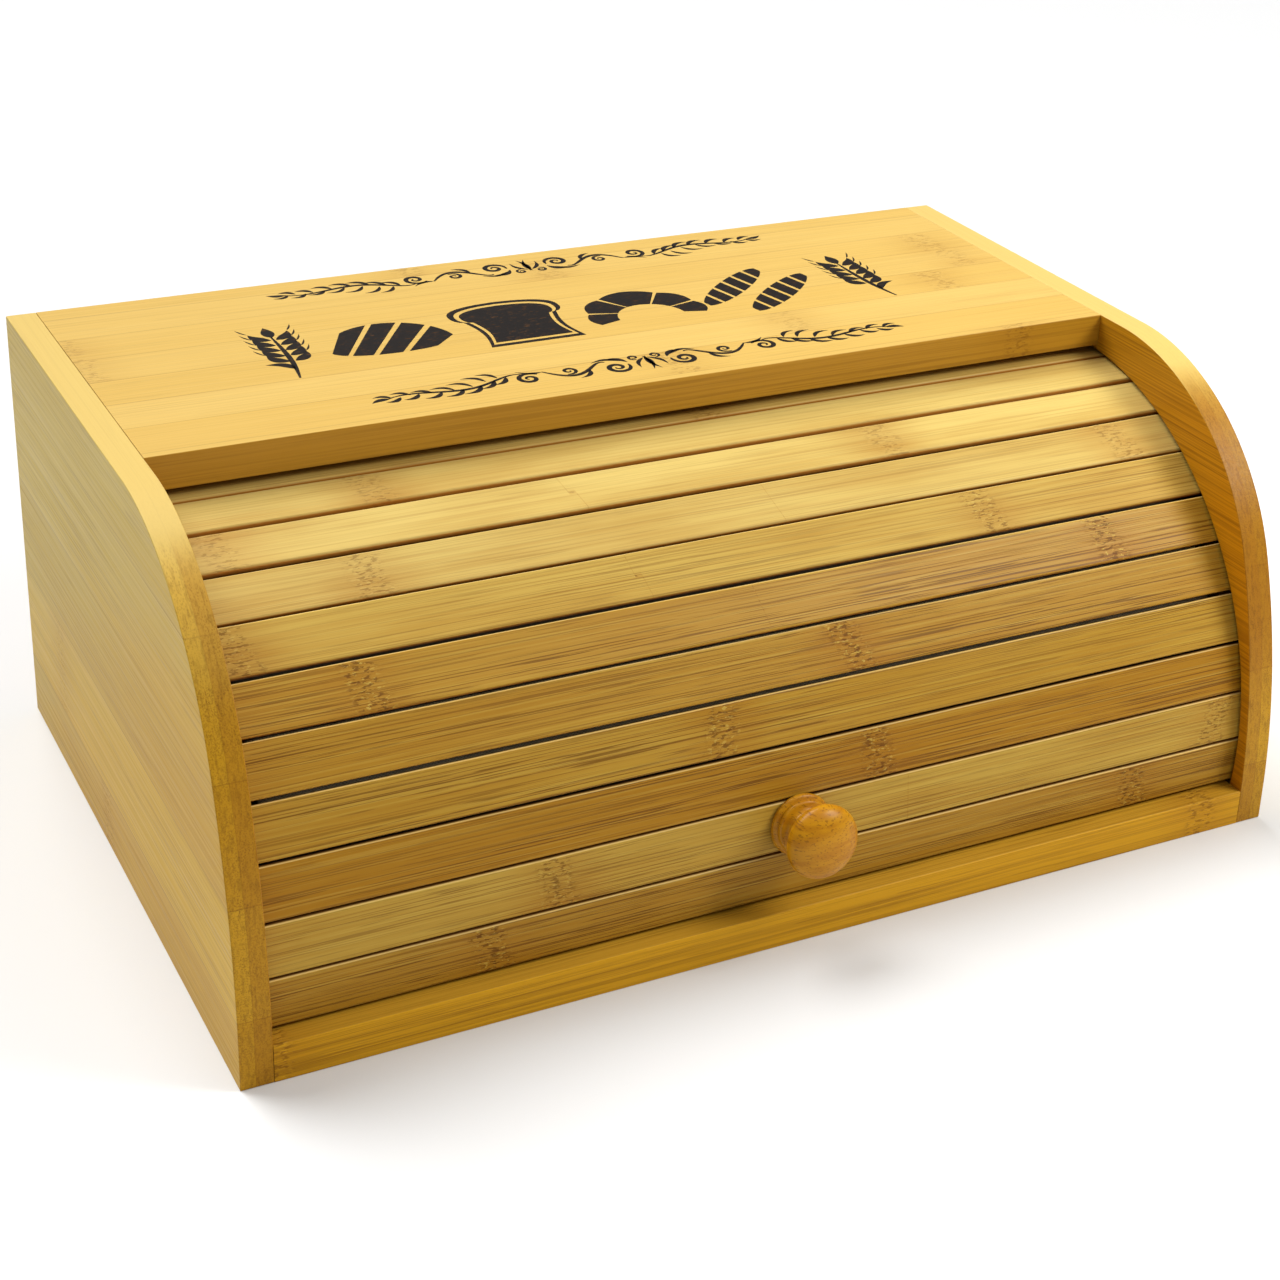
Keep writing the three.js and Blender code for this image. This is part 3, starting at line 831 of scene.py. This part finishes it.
def side_panel(name, side):
    """A side panel, side being -1 for the left and 1 for the right, with its groove, slot and dowel holes."""
    outline = side_outline()
    pockets = [
        (groove_outline(), -side, GROOVE_DEPTH),
        (back_slot(), -side, BACK_HIGH[0] - INNER + BACK_PANEL_GAP),
        *dowel_pockets("top", side, True),
        *dowel_pockets("bottom", side, True),
    ]
    x = sorted([side * INNER, side * OUTER])
    points, faces = plank(outline, x[0], x[1], BOARD_EASE, pockets)
    obj = piece(name, points, faces, SIDE_BAMBOO, "cabinet", [name])
    grain = grain_of(points, "y", (side * 0.37, 0.013, 0.0))
    grain[:, 2] = (np.abs(points[:, 0]) - INNER) * MM
    attribute(obj, "grain", grain)


def board_outline(low, high, ease, slot_side):
    """A board's section in the YZ plane, with the back panel's slot on its upper (1) or lower (-1) face."""
    y0, z0 = low[1:]
    y1, z1 = high[1:]
    s0, s1 = BACK_LOW[1] - BACK_PANEL_GAP, BACK_HIGH[1] + BACK_PANEL_GAP
    if slot_side > 0:
        floor = BACK_LOW[2] - BACK_PANEL_GAP
        corners = [[y0, z0], [y1, z0], [y1, z1], [s1, z1], [s1, floor], [s0, floor], [s0, z1], [y0, z1]]
        radii = [ease, ease, ease, 0, 0, 0, 0, ease]
    else:
        floor = BACK_HIGH[2] + BACK_PANEL_GAP
        corners = [[y0, z0], [s0, z0], [s0, floor], [s1, floor], [s1, z0], [y1, z0], [y1, z1], [y0, z1]]
        radii = [ease, 0, 0, 0, 0, ease, ease, ease]
    return rounded(corners, radii)


def cross_board(name, low, high, board, slot_side, material, shift):
    """The top or bottom panel, a hair clear of the side panels; shift moves its grain's pattern."""
    outline = board_outline(low, high, BOARD_EASE, slot_side)
    half = INNER - SEAM
    pockets = [pocket for side in (-1, 1) for pocket in dowel_pockets(board, side, False)]
    points, faces = plank(outline, -half, half, BOARD_END_EASE, pockets)
    obj = piece(name, points, faces, material, "cabinet", [name])
    attribute(obj, "grain", grain_of(points, "x", shift))


def back_panel():
    """The thin panel in the boards' slots, its strips one above the other."""
    corners = [BACK_LOW[1:], [BACK_HIGH[1], BACK_LOW[2]], BACK_HIGH[1:], [BACK_LOW[1], BACK_HIGH[2]]]
    outline = rounded(corners, [BACK_CORNER_EASE] * 4)
    points, faces = plank(outline, BACK_LOW[0], BACK_HIGH[0], THIN_END_EASE)
    obj = piece("back_panel", points, faces, BACK_BAMBOO, "cabinet", ["back_panel"])
    attribute(obj, "grain", grain_of(points, "x", (0.1, 0.0, 0.0))[:, [0, 2, 1]])


def dowels():
    """Fluted dowels along X: the radius dips by a cosine round the rod, and the ends are chamfered."""
    for name in DOWELS:
        low, high = node_box(name)
        centre, half = (low + high) / 2, (high - low) / 2
        radius, length = half[2], half[0]
        h = np.array([-length, -length + 0.2, -length + 0.8, length - 0.8, length - 0.2, length])
        r = radius * np.array([0.68, 0.74, 1, 1, 0.74, 0.68])
        t = np.linspace(0, 2 * np.pi, 96, endpoint=False)
        flute = 1 - 0.06 * (0.5 + 0.5 * np.cos(16 * t)) ** 2
        rows = np.stack([
            np.repeat(h[:, None], len(t), 1), r[:, None] * flute * np.cos(t), r[:, None] * flute * np.sin(t)
        ], -1)
        points = np.concatenate([rows.reshape(-1, 3), [[-length, 0, 0], [length, 0, 0]]]) + centre
        faces = grid_faces(len(h), len(t), wrap=True) + pole_faces(len(h), len(t))
        piece(name, points, faces, DOWEL_WOOD, "cabinet", [name])


# ---- Door ----

# One row for each slat from the bottom: how dark it is from 0 to 1; how proud of the even circle its lower
# and upper edges stand, in millimetres; and where the cane's nodes cross it, in millimetres from the middle,
# with how much each leans.
# The lower slats are set darker and deeper in colour, partly their own tone and partly painted shade, as they
# face forward, out of the light from above.
SLAT_CHARACTER = [
    (0.82, (0.0, 0.0), [(-113, 0.3), (142, 0.2)]),
    (0.52, (0.05, 0.0), [(-90, 0.2), (178, -0.4)]),
    (0.93, (0.0, 0.0), [(32, 0.1)]),
    (0.7, (0.0, 0.05), [(-26, -0.2)]),
    (0.78, (0.05, 0.1), [(28, 0.4)]),
    (0.75, (0.2, 0.1), [(-143, 0.2), (142, 0.2)]),
    (0.4, (0.1, -0.1), [(-181, 0.3), (97, 0.3)]),
    (0.16, (0.0, -0.35), [(-131, 0.1), (166, 0.3)]),
    (0.0, (0.5, -0.35), [(-175, 0.2), (73, 0.2)]),
    (0.05, (0.5, -0.1), [(-117, 0.2)]),
    (0.25, (0.1, -0.2), [(14, 0.3)]),
    (0.4, (0.0, 0.0), [(-60, 0.1), (120, 0.2)]),
]
# The gap at the front between each slat and the next one up, in millimetres.
JOINT_GAPS = [0.9, 0.8, 1.0, 1.25, 1.0, 1.4, 0.85, 1.3, 1.2, 1.2, 1.1]


def slats():
    """Door slats: a rounded bar whose front edges wander a little along the length, as sanding leaves them.

    Seen from its end a slat narrows towards its back as the door's circle does, and reaches to half of the
    gap on each side.
    """
    pitch = SLAT_PITCH * SLAT_FACE_RADIUS
    taper = pitch * SLAT_THICKNESS / SLAT_FACE_RADIUS / 2
    gaps = np.array([1.2, *JOINT_GAPS, 1.2])
    for i, (name, (tone, (low_edge, high_edge), cane_nodes)) in enumerate(zip(SLATS, SLAT_CHARACTER)):
        below, above = (gaps[i] - pitch) / 2, (pitch - gaps[i + 1]) / 2
        section = rounded(
            [[below + taper, -SLAT_THICKNESS], [above - taper, -SLAT_THICKNESS], [above, 0], [below, 0]],
            [SLAT_BACK_EASE, SLAT_BACK_EASE, SLAT_FRONT_EASE, SLAT_FRONT_EASE], 5)
        low, high = node_box(name)
        places, leans = np.array(cane_nodes, float).T
        stations = np.union1d(np.linspace(low[0] + 1, high[0] - 1, 160), places)
        points, faces = plank(section, low[0], high[0], THIN_END_EASE, stations=stations)
        x, up, out = points.T
        wander = np.sin(x / 37 + 2.1 * i) + 0.6 * np.sin(x / 15.3 + 4.7 * i) + 0.3 * np.sin(x / 6.1 + 1.3 * i)
        on_front = np.clip(1 + out / 3, 0, 1)
        offsets = x[:, None] - places + leans * up[:, None]
        from_node = np.take_along_axis(offsets, np.abs(offsets).argmin(1)[:, None], 1)[:, 0]
        swell = 0.12 * np.exp(-((from_node / 3) ** 2))
        lift = low_edge + (high_edge - low_edge) * (up / pitch + 0.5)
        worn = up + 0.06 * wander * np.sign(up) * on_front
        raised = out + (lift + swell) * on_front
        placed = on_door(np.stack([x, worn, raised], -1), SLAT_ANGLES[i], SLAT_FACE_RADIUS)
        obj = piece(name, placed, faces, SLAT_BAMBOO, "door", [name])
        attribute(obj, "grain", np.stack([x * MM, i + 0.5 + up * MM, out * MM], -1))
        attribute(obj, "from_node", from_node * MM)
        attribute(obj, "tone", np.full(len(points), tone))


def backing_cloth():
    """The cloth behind the slats: one sheet that follows the slats' backs on a many-sided arc."""
    low, high = node_box("door_backing_cloth")
    hem = np.radians(1)
    start, end = SLAT_ANGLES[0] - SLAT_PITCH / 2 + hem, SLAT_ANGLES[-1] + SLAT_PITCH / 2 - hem
    angle = np.linspace(start, end, 145)
    from_middle = (angle - DOOR_START) % SLAT_PITCH - SLAT_PITCH / 2
    radius = (SLAT_FACE_RADIUS - SLAT_THICKNESS - 0.3 - CLOTH_THICKNESS / 2) / np.cos(from_middle)
    x = np.linspace(low[0], high[0], 120)
    r = radius[:, None] - 0.12 * (1 + np.sin(x / 9)[None] * np.sin(angle * 40)[:, None]) / 2
    y = ROLL_AXIS[0] - r * np.cos(angle)[:, None]
    z = ROLL_AXIS[1] + r * np.sin(angle)[:, None]
    points = np.stack([np.broadcast_to(x, r.shape), y, z], -1).reshape(-1, 3)
    obj = piece("door_backing_cloth", points, grid_faces(len(angle), len(x)), CLOTH, "door",
                ["door_backing_cloth"], sharp=60)
    run = (angle - start) * radius.mean()
    weave = np.stack(np.broadcast_arrays(x, run[:, None], 0.0), -1).reshape(-1, 3) * MM
    attribute(obj, "weave", weave)
    obj.modifiers.clear()
    wall = obj.modifiers.new("cloth_thickness", "SOLIDIFY")
    wall.thickness = 0.35 * MM
    wall.offset = 0


def arc_points(centre, half_width, half_height, start, end, steps):
    """Points on an oval: the centre plus each half size times the cosine or sine of an even turn."""
    a = np.radians(np.linspace(start, end, steps))
    return np.stack([centre[0] + half_width * np.cos(a), centre[1] + half_height * np.sin(a)], -1)


def knob():
    """The knob: two beads at the foot, a waist and a round head, turned about its own axis."""
    foot, waist, head, head_height, height = 11.4, 6.8, 13.3, 13.0, 22.5
    profile = np.concatenate([
        [[0, 0]],
        arc_points([foot - 1.3, 1.3], 1.3, 1.3, -90, 65, 10),
        arc_points([foot - 2.5, 3.7], 1.2, 1.2, -45, 80, 8),
        [[waist + 0.9, 5.2], [waist + 0.3, 6.1], [waist, 7.2], [waist + 0.1, 8.2], [waist + 0.6, 9.1]],
        arc_points([0, height - head_height / 2], head, head_height / 2, -50, 86, 40),
        [[0, height]],
    ])
    points, faces = turned(profile)
    placed = on_door(points, KNOB_ANGLE, SLAT_FACE_RADIUS + 0.05)
    piece("knob", placed, faces, KNOB_WOOD, "door", ["knob"], sharp=60)


def knob_fixings():
    """The knob's screw and washer are the frame's own solids, in plated steel."""
    for name in ("knob_screw", "knob_washer"):
        materials = NODES[name].data.materials
        materials.clear()
        materials.append(STEEL)


# ---- Decoration printed on the top ----


def patch(left, right):
    """A thin flat slab between two curves of as many points, as points and faces.

    Each curve is laid down at the slab's lower and upper level. Quads join the curves above and below, join
    the levels along each curve, and close both ends.
    """
    left, right = np.asarray(left, float), np.asarray(right, float)
    if signed_area(np.concatenate([right, left[::-1]])) < 0:
        left, right = right, left
    count = len(left)
    levels = [np.full((count, 1), TOP_HIGH[2] + rise) for rise in (-INK_SUNK, INK_PROUD)]
    points = np.concatenate([np.hstack([curve, level]) for level in levels for curve in (left, right)])
    ll, rl, lh, rh = (np.arange(count) + k * count for k in range(4))
    strips = [(lh, rh), (rh, rl), (rl, ll), (ll, lh)]
    faces = [np.stack([a[:-1], b[:-1], b[1:], a[1:]], -1) for a, b in strips]
    faces.append(np.array([[ll[0], rl[0], rh[0], lh[0]], [ll[-1], lh[-1], rh[-1], rl[-1]]]))
    return points, np.concatenate(faces).tolist()


def stroke(path, half_width):
    """A pen stroke: the path moved to both sides, square to its run, by the half width at each point."""
    path = np.asarray(path, float)
    run = np.gradient(path, axis=0)
    side = np.stack([-run[:, 1], run[:, 0]], -1) / np.hypot(*run.T)[:, None]
    reach = np.maximum(half_width, 0.05)[:, None]
    return patch(path + side * reach, path - side * reach)


def leaf(root, tip, width, bend=0.15, steps=14):
    """A leaf: a stroke from root to tip, bowed by part of its length, its width a sine that leans forward."""
    root, tip = np.asarray(root, float), np.asarray(tip, float)
    t = np.linspace(0, 1, steps)
    across = np.array([root[1] - tip[1], tip[0] - root[0]])
    path = root + (tip - root) * t[:, None] + across * (bend * np.sin(np.pi * t))[:, None]
    return stroke(path, width * LEAF_BOLDNESS / 2 * np.sin(np.pi * t ** 0.8))


def curl(centre, outer, inner, start, turns, width, steps=60):
    """A scroll: a spiral whose radius shrinks evenly with the angle, thickest a third of the way in."""
    t = np.linspace(0, 1, steps)
    radius = outer + (inner - outer) * t ** 0.8
    angle = np.radians(start) + 2 * np.pi * turns * t
    path = np.asarray(centre) + radius[:, None] * np.stack([np.cos(angle), np.sin(angle)], -1)
    return stroke(path, width * BOLDNESS / 2 * (0.25 + 0.75 * np.sin(np.pi * t ** 0.6)))


def stem(points, width, steps=40):
    """A stem: a smooth curve through a few points, found by a polynomial in the distance along them."""
    points = np.asarray(points, float)
    t = np.linspace(0, 1, len(points))
    fine = np.linspace(0, 1, steps)
    path = np.stack([np.polyval(np.polyfit(t, points[:, k], len(points) - 1), fine) for k in range(2)], -1)
    return stroke(path, width * BOLDNESS / 2 * (0.35 + 0.65 * np.sin(np.pi * fine)))


def scroll_band():
    """Half of a scroll band, rightwards from its middle: bud, curls, and a leafy spray."""
    parts = [
        leaf((0.4, -5.5), (1.6, 7.5), 1.7, 0.1), leaf((0.8, -4), (5.4, 4.8), 1.5, -0.15),
        curl((4.2, -5.2), 2.3, 0.5, 100, -1.3, 0.9), curl((13.5, 1.6), 5.2, 0.7, 200, -1.6, 1.5),
        leaf((8, -2), (16, -6.6), 1.9, -0.22), leaf((10, -3.8), (21, -5.4), 1.6, -0.2),
        stem([(16, -4.6), (22, -2.2), (29, 2.8), (36, 1.2), (41, -4.2)], 1.3),
        curl((31.5, -1.6), 3.4, 0.5, 60, 1.4, 1.1), leaf((24, 0), (30, 6.2), 1.7, 0.2),
        curl((47.5, 0.2), 5.0, 0.6, 215, 1.6, 1.4), leaf((41, -4), (50, -7.2), 1.5, 0.15),
        stem([(49, -4.6), (57, -3.6), (66, 0.6), (76, 1.6), (88, -0.8), (101, 0.6)], 1.2),
    ]
    spray = [(55, -4.2, 6.5, 5.6), (60, -2.6, 7.5, 5.8), (66, 0.2, 8.2, 5.2), (73, 1.2, 8.0, 4.2),
             (81, 0.8, 7.4, 3.6), (89, -0.4, 6.6, 3.2), (96, 0.2, 6.2, 2.6)]
    for x, y, reach, rise in spray:
        parts.append(leaf((x, y), (x + reach, y + rise), 1.9, 0.22))
        parts.append(leaf((x + 3, y), (x + reach + 3.2, y - rise * 0.9), 1.6, -0.22))
    parts.append(leaf((100, 0.4), (107, 2.2), 2.2, -0.12))
    return parts


def wheat_ear(height):
    """An ear of wheat on a bent stalk: pairs of grains that lean outwards, one at the tip, and bristles."""
    stalk = height * 0.5
    parts = [stem([(-3, -stalk), (-0.9, -stalk * 0.5), (0, 0), (0, stalk * 0.62)], 1.5)]
    for y in np.linspace(-stalk * 0.36, stalk * 0.5, 5):
        for way in (-1, 1):
            parts.append(leaf((way * 0.9, y), (way * 7.4, y + 7.8), 3.9, -way * 0.16))
            parts.append(leaf((way * 7.6, y + 8.2), (way * 10.4, y + 14), 0.7, -way * 0.05))
    parts.append(leaf((0, stalk * 0.6), (0, stalk * 0.6 + 10.5), 4.4, 0.0))
    parts.append(leaf((-1.6, -stalk * 0.66), (-10.5, -stalk * 0.4), 3.2, -0.2))
    return parts


def slashed_loaf(half_length, half_height, slant, cuts, gap, turn=0.0, flat=0.35):
    """A loaf in slices: an oval cut by slanting lines, each slice a patch between two of them.

    A slice's ends lie where a slanting line meets the oval above and below: the roots of a quadratic. flat
    squeezes the lower half towards a level base.
    """
    edges = np.linspace(-half_length, half_length, cuts + 1)
    parts = []
    for low, high in zip(edges[:-1], edges[1:]):
        x = np.linspace(low + gap / 2, high - gap / 2, 16)
        a = slant ** 2 / half_length ** 2 + 1 / half_height ** 2
        b = 2 * x * slant / half_length ** 2
        c = x ** 2 / half_length ** 2 - 1
        root = np.sqrt(np.maximum(b * b - 4 * a * c, 0))
        ends = []
        for way in (-1, 1):
            rise = (-b + way * root) / (2 * a)
            ends.append(np.stack([x + slant * rise, np.where(rise < 0, rise * flat, rise)], -1))
        cos, sin = np.cos(np.radians(turn)), np.sin(np.radians(turn))
        spun = np.array([[cos, sin], [-sin, cos]])
        parts.append(patch(ends[0] @ spun, ends[1] @ spun))
    return parts


def bread_slice(height):
    """A slice of bread: a crust line round a domed square, and the crumb inside it."""
    t = np.linspace(0, 1, 90)
    half = np.where(t < 0.62, 0.42 - 0.05 * np.sin(np.pi * t / 0.62), 0.0)
    s = np.clip((t - 0.62) / 0.38, 0, 1)
    dome = 0.5 * np.sqrt(np.clip(1 - np.abs(2 * s - 0.72) ** 2.6 / 1.28 ** 2.6, 0, 1))
    half = np.where(t < 0.62, half, np.maximum(dome, 0.02)) * height
    rise = (t - 0.5) * height
    shape = np.stack([half, rise], -1)
    loop = np.concatenate([shape, shape[::-1] * [-1, 1], shape[:1]])
    parts = [patch(loop, loop * 0.9)]
    parts.append(patch(shape * 0.82, shape * [-0.82, 0.82]))
    return parts


def croissant(outer, inner):
    """A crescent in five rolls: arcs about two centres whose thickness swells in the middle."""
    parts = []
    for start, end in [(196, 166), (163, 124), (120.5, 59.5), (56, 17), (14, -16)]:
        a = np.radians(np.linspace(start, end, 18))
        fat = np.cos((a - np.pi / 2) / 2.1)
        bulge = 1 + 0.07 * np.sin(np.pi * np.linspace(0, 1, 18))
        far = outer * bulge
        near = outer - (outer - inner) * fat
        ring = np.stack([np.cos(a), np.sin(a)], -1)
        parts.append(patch(ring * far[:, None], ring * near[:, None]))
    return parts


def decoration():
    """The print: a scroll band behind and before, and a row of six bakery signs between them."""
    parts = []

    def lay(shapes, x, y, mirror=(1, 1), scale=1.0):
        for points, faces in shapes:
            moved = points * [mirror[0] * scale, mirror[1] * scale, 1] + [x, y, 0]
            turned_over = mirror[0] * mirror[1] < 0
            parts.append((moved, [face[::-1] if turned_over else face for face in faces]))

    for y, up in ((BAND_BEHIND, 1), (BAND_BEFORE, -1)):
        for way in (-1, 1):
            lay(scroll_band(), PRINT_MIDDLE, y, (way, up))
    lay(wheat_ear(52), PRINT_MIDDLE - 119, SIGN_ROW)
    lay(slashed_loaf(24, 23, 0.45, 4, 2.4), PRINT_MIDDLE - 80, SIGN_ROW - 7)
    lay(bread_slice(45), PRINT_MIDDLE - 29, SIGN_ROW)
    lay(croissant(23, 9), PRINT_MIDDLE + 22, SIGN_ROW - 9)
    for shift in (-7.5, 7.5):
        lay(slashed_loaf(25, 6.2, 0.5, 6, 1.7, 40, 1.0), PRINT_MIDDLE + 74 + shift, SIGN_ROW - shift * 0.8)
    lay(wheat_ear(52), PRINT_MIDDLE + 120, SIGN_ROW, (-1, 1))
    counts = np.cumsum([0] + [len(points) for points, _ in parts])
    points = np.concatenate([points for points, _ in parts])
    faces = [[v + first for v in face] for (_, shape), first in zip(parts, counts) for face in shape]
    piece("printed_decoration", points, faces, PRINT, "cabinet")


# ---- Stage ----

CAMERA_PLACE = np.array([-0.3707, -0.7371, 0.485])
CAMERA_ANGLES = np.radians([-28.9, 24.05, 2.79])  # round from the front, up from level, and roll
CAMERA_LENS = 68.7
CAMERA_SHIFT = (-0.0717, -0.1164)
FLOOR_REACH = 20
FLOOR_GREY = 0.71
SURROUND_STRENGTH = 0.24


def camera():
    """A camera at the front left, above the box, turned a little clockwise."""
    azimuth, elevation, roll = CAMERA_ANGLES
    flat = np.cos(elevation)
    back = np.array([np.sin(azimuth) * flat, -np.cos(azimuth) * flat, np.sin(elevation)])
    level = np.array([np.cos(azimuth), np.sin(azimuth), 0])
    upright = np.cross(back, level)
    right = np.cos(roll) * level + np.sin(roll) * upright
    up = -np.sin(roll) * level + np.cos(roll) * upright
    data = bpy.data.cameras.new("camera")
    data.sensor_width = 36
    data.lens = CAMERA_LENS
    data.shift_x, data.shift_y = CAMERA_SHIFT
    data.clip_end = 100
    columns = np.column_stack([right, up, back, CAMERA_PLACE])
    obj = in_scene("camera", data)
    obj.matrix_world = Matrix(np.vstack([columns, [0, 0, 0, 1]]).tolist())
    bpy.context.scene.camera = obj


def area_light(name, place, target, size, power, shade):
    """A rectangular lamp at a place, turned towards its target."""
    data = bpy.data.lights.new(name, "AREA")
    data.shape = "RECTANGLE"
    data.size, data.size_y = size
    data.energy = power
    data.color = shade
    obj = in_scene(name, data)
    obj.location = place
    obj.rotation_euler = (Vector(target) - Vector(place)).to_track_quat("-Z", "Y").to_euler()


def soft_sun(name, towards, strength, spread):
    """Even light from far away; spread is how wide the source looks, in degrees."""
    data = bpy.data.lights.new(name, "SUN")
    data.energy = strength
    data.angle = np.radians(spread)
    obj = in_scene(name, data)
    obj.rotation_euler = Vector(towards).to_track_quat("Z", "Y").to_euler()


def stage():
    """A pale floor, an even pale surround, two wide suns and a small warm lamp."""
    mesh = bpy.data.meshes.new("floor")
    corners = [(FLOOR_REACH * x, FLOOR_REACH * y, 0) for x, y in ((-1, -1), (1, -1), (1, 1), (-1, 1))]
    mesh.from_pydata(corners, [], [(0, 1, 2, 3)])
    n = Nodes("floor_paper")
    n.give("Base Color", (FLOOR_GREY, FLOOR_GREY, FLOOR_GREY, 1))
    n.give("Roughness", 0.8)
    mesh.materials.append(n.material)
    in_scene("floor", mesh)
    world = bpy.data.worlds.new("surround")
    world.use_nodes = True
    background = world.node_tree.nodes["Background"]
    background.inputs[0].default_value = (1, 1, 1, 1)
    background.inputs[1].default_value = SURROUND_STRENGTH
    bpy.context.scene.world = world
    bpy.context.scene.view_settings.view_transform = "Standard"
    soft_sun("from_behind", towards=(-0.3, 0.68, 1.0), strength=3.85, spread=44)
    soft_sun("overhead", towards=(0.3, -0.3, 1.0), strength=0.48, spread=60)
    area_light("right_lamp", place=(0.6, -0.5, 0.7), target=(0, 0, 0.06), size=(0.4, 0.4), power=6.5,
               shade=(1, 0.98, 0.93))


# ---- Assembly ----

camera()
side_panel("side_panel_left", -1)
side_panel("side_panel_right", 1)
cross_board("top_panel", TOP_LOW, TOP_HIGH, "top", -1, TOP_BAMBOO, (0.0, 0.011, 0.0))
cross_board("bottom_panel", BOTTOM_LOW, BOTTOM_HIGH, "bottom", 1, BOARD_BAMBOO, (0.2, 0.0, 0.0))
back_panel()
decoration()
dowels()
slats()
backing_cloth()
knob()
knob_fixings()
stage()
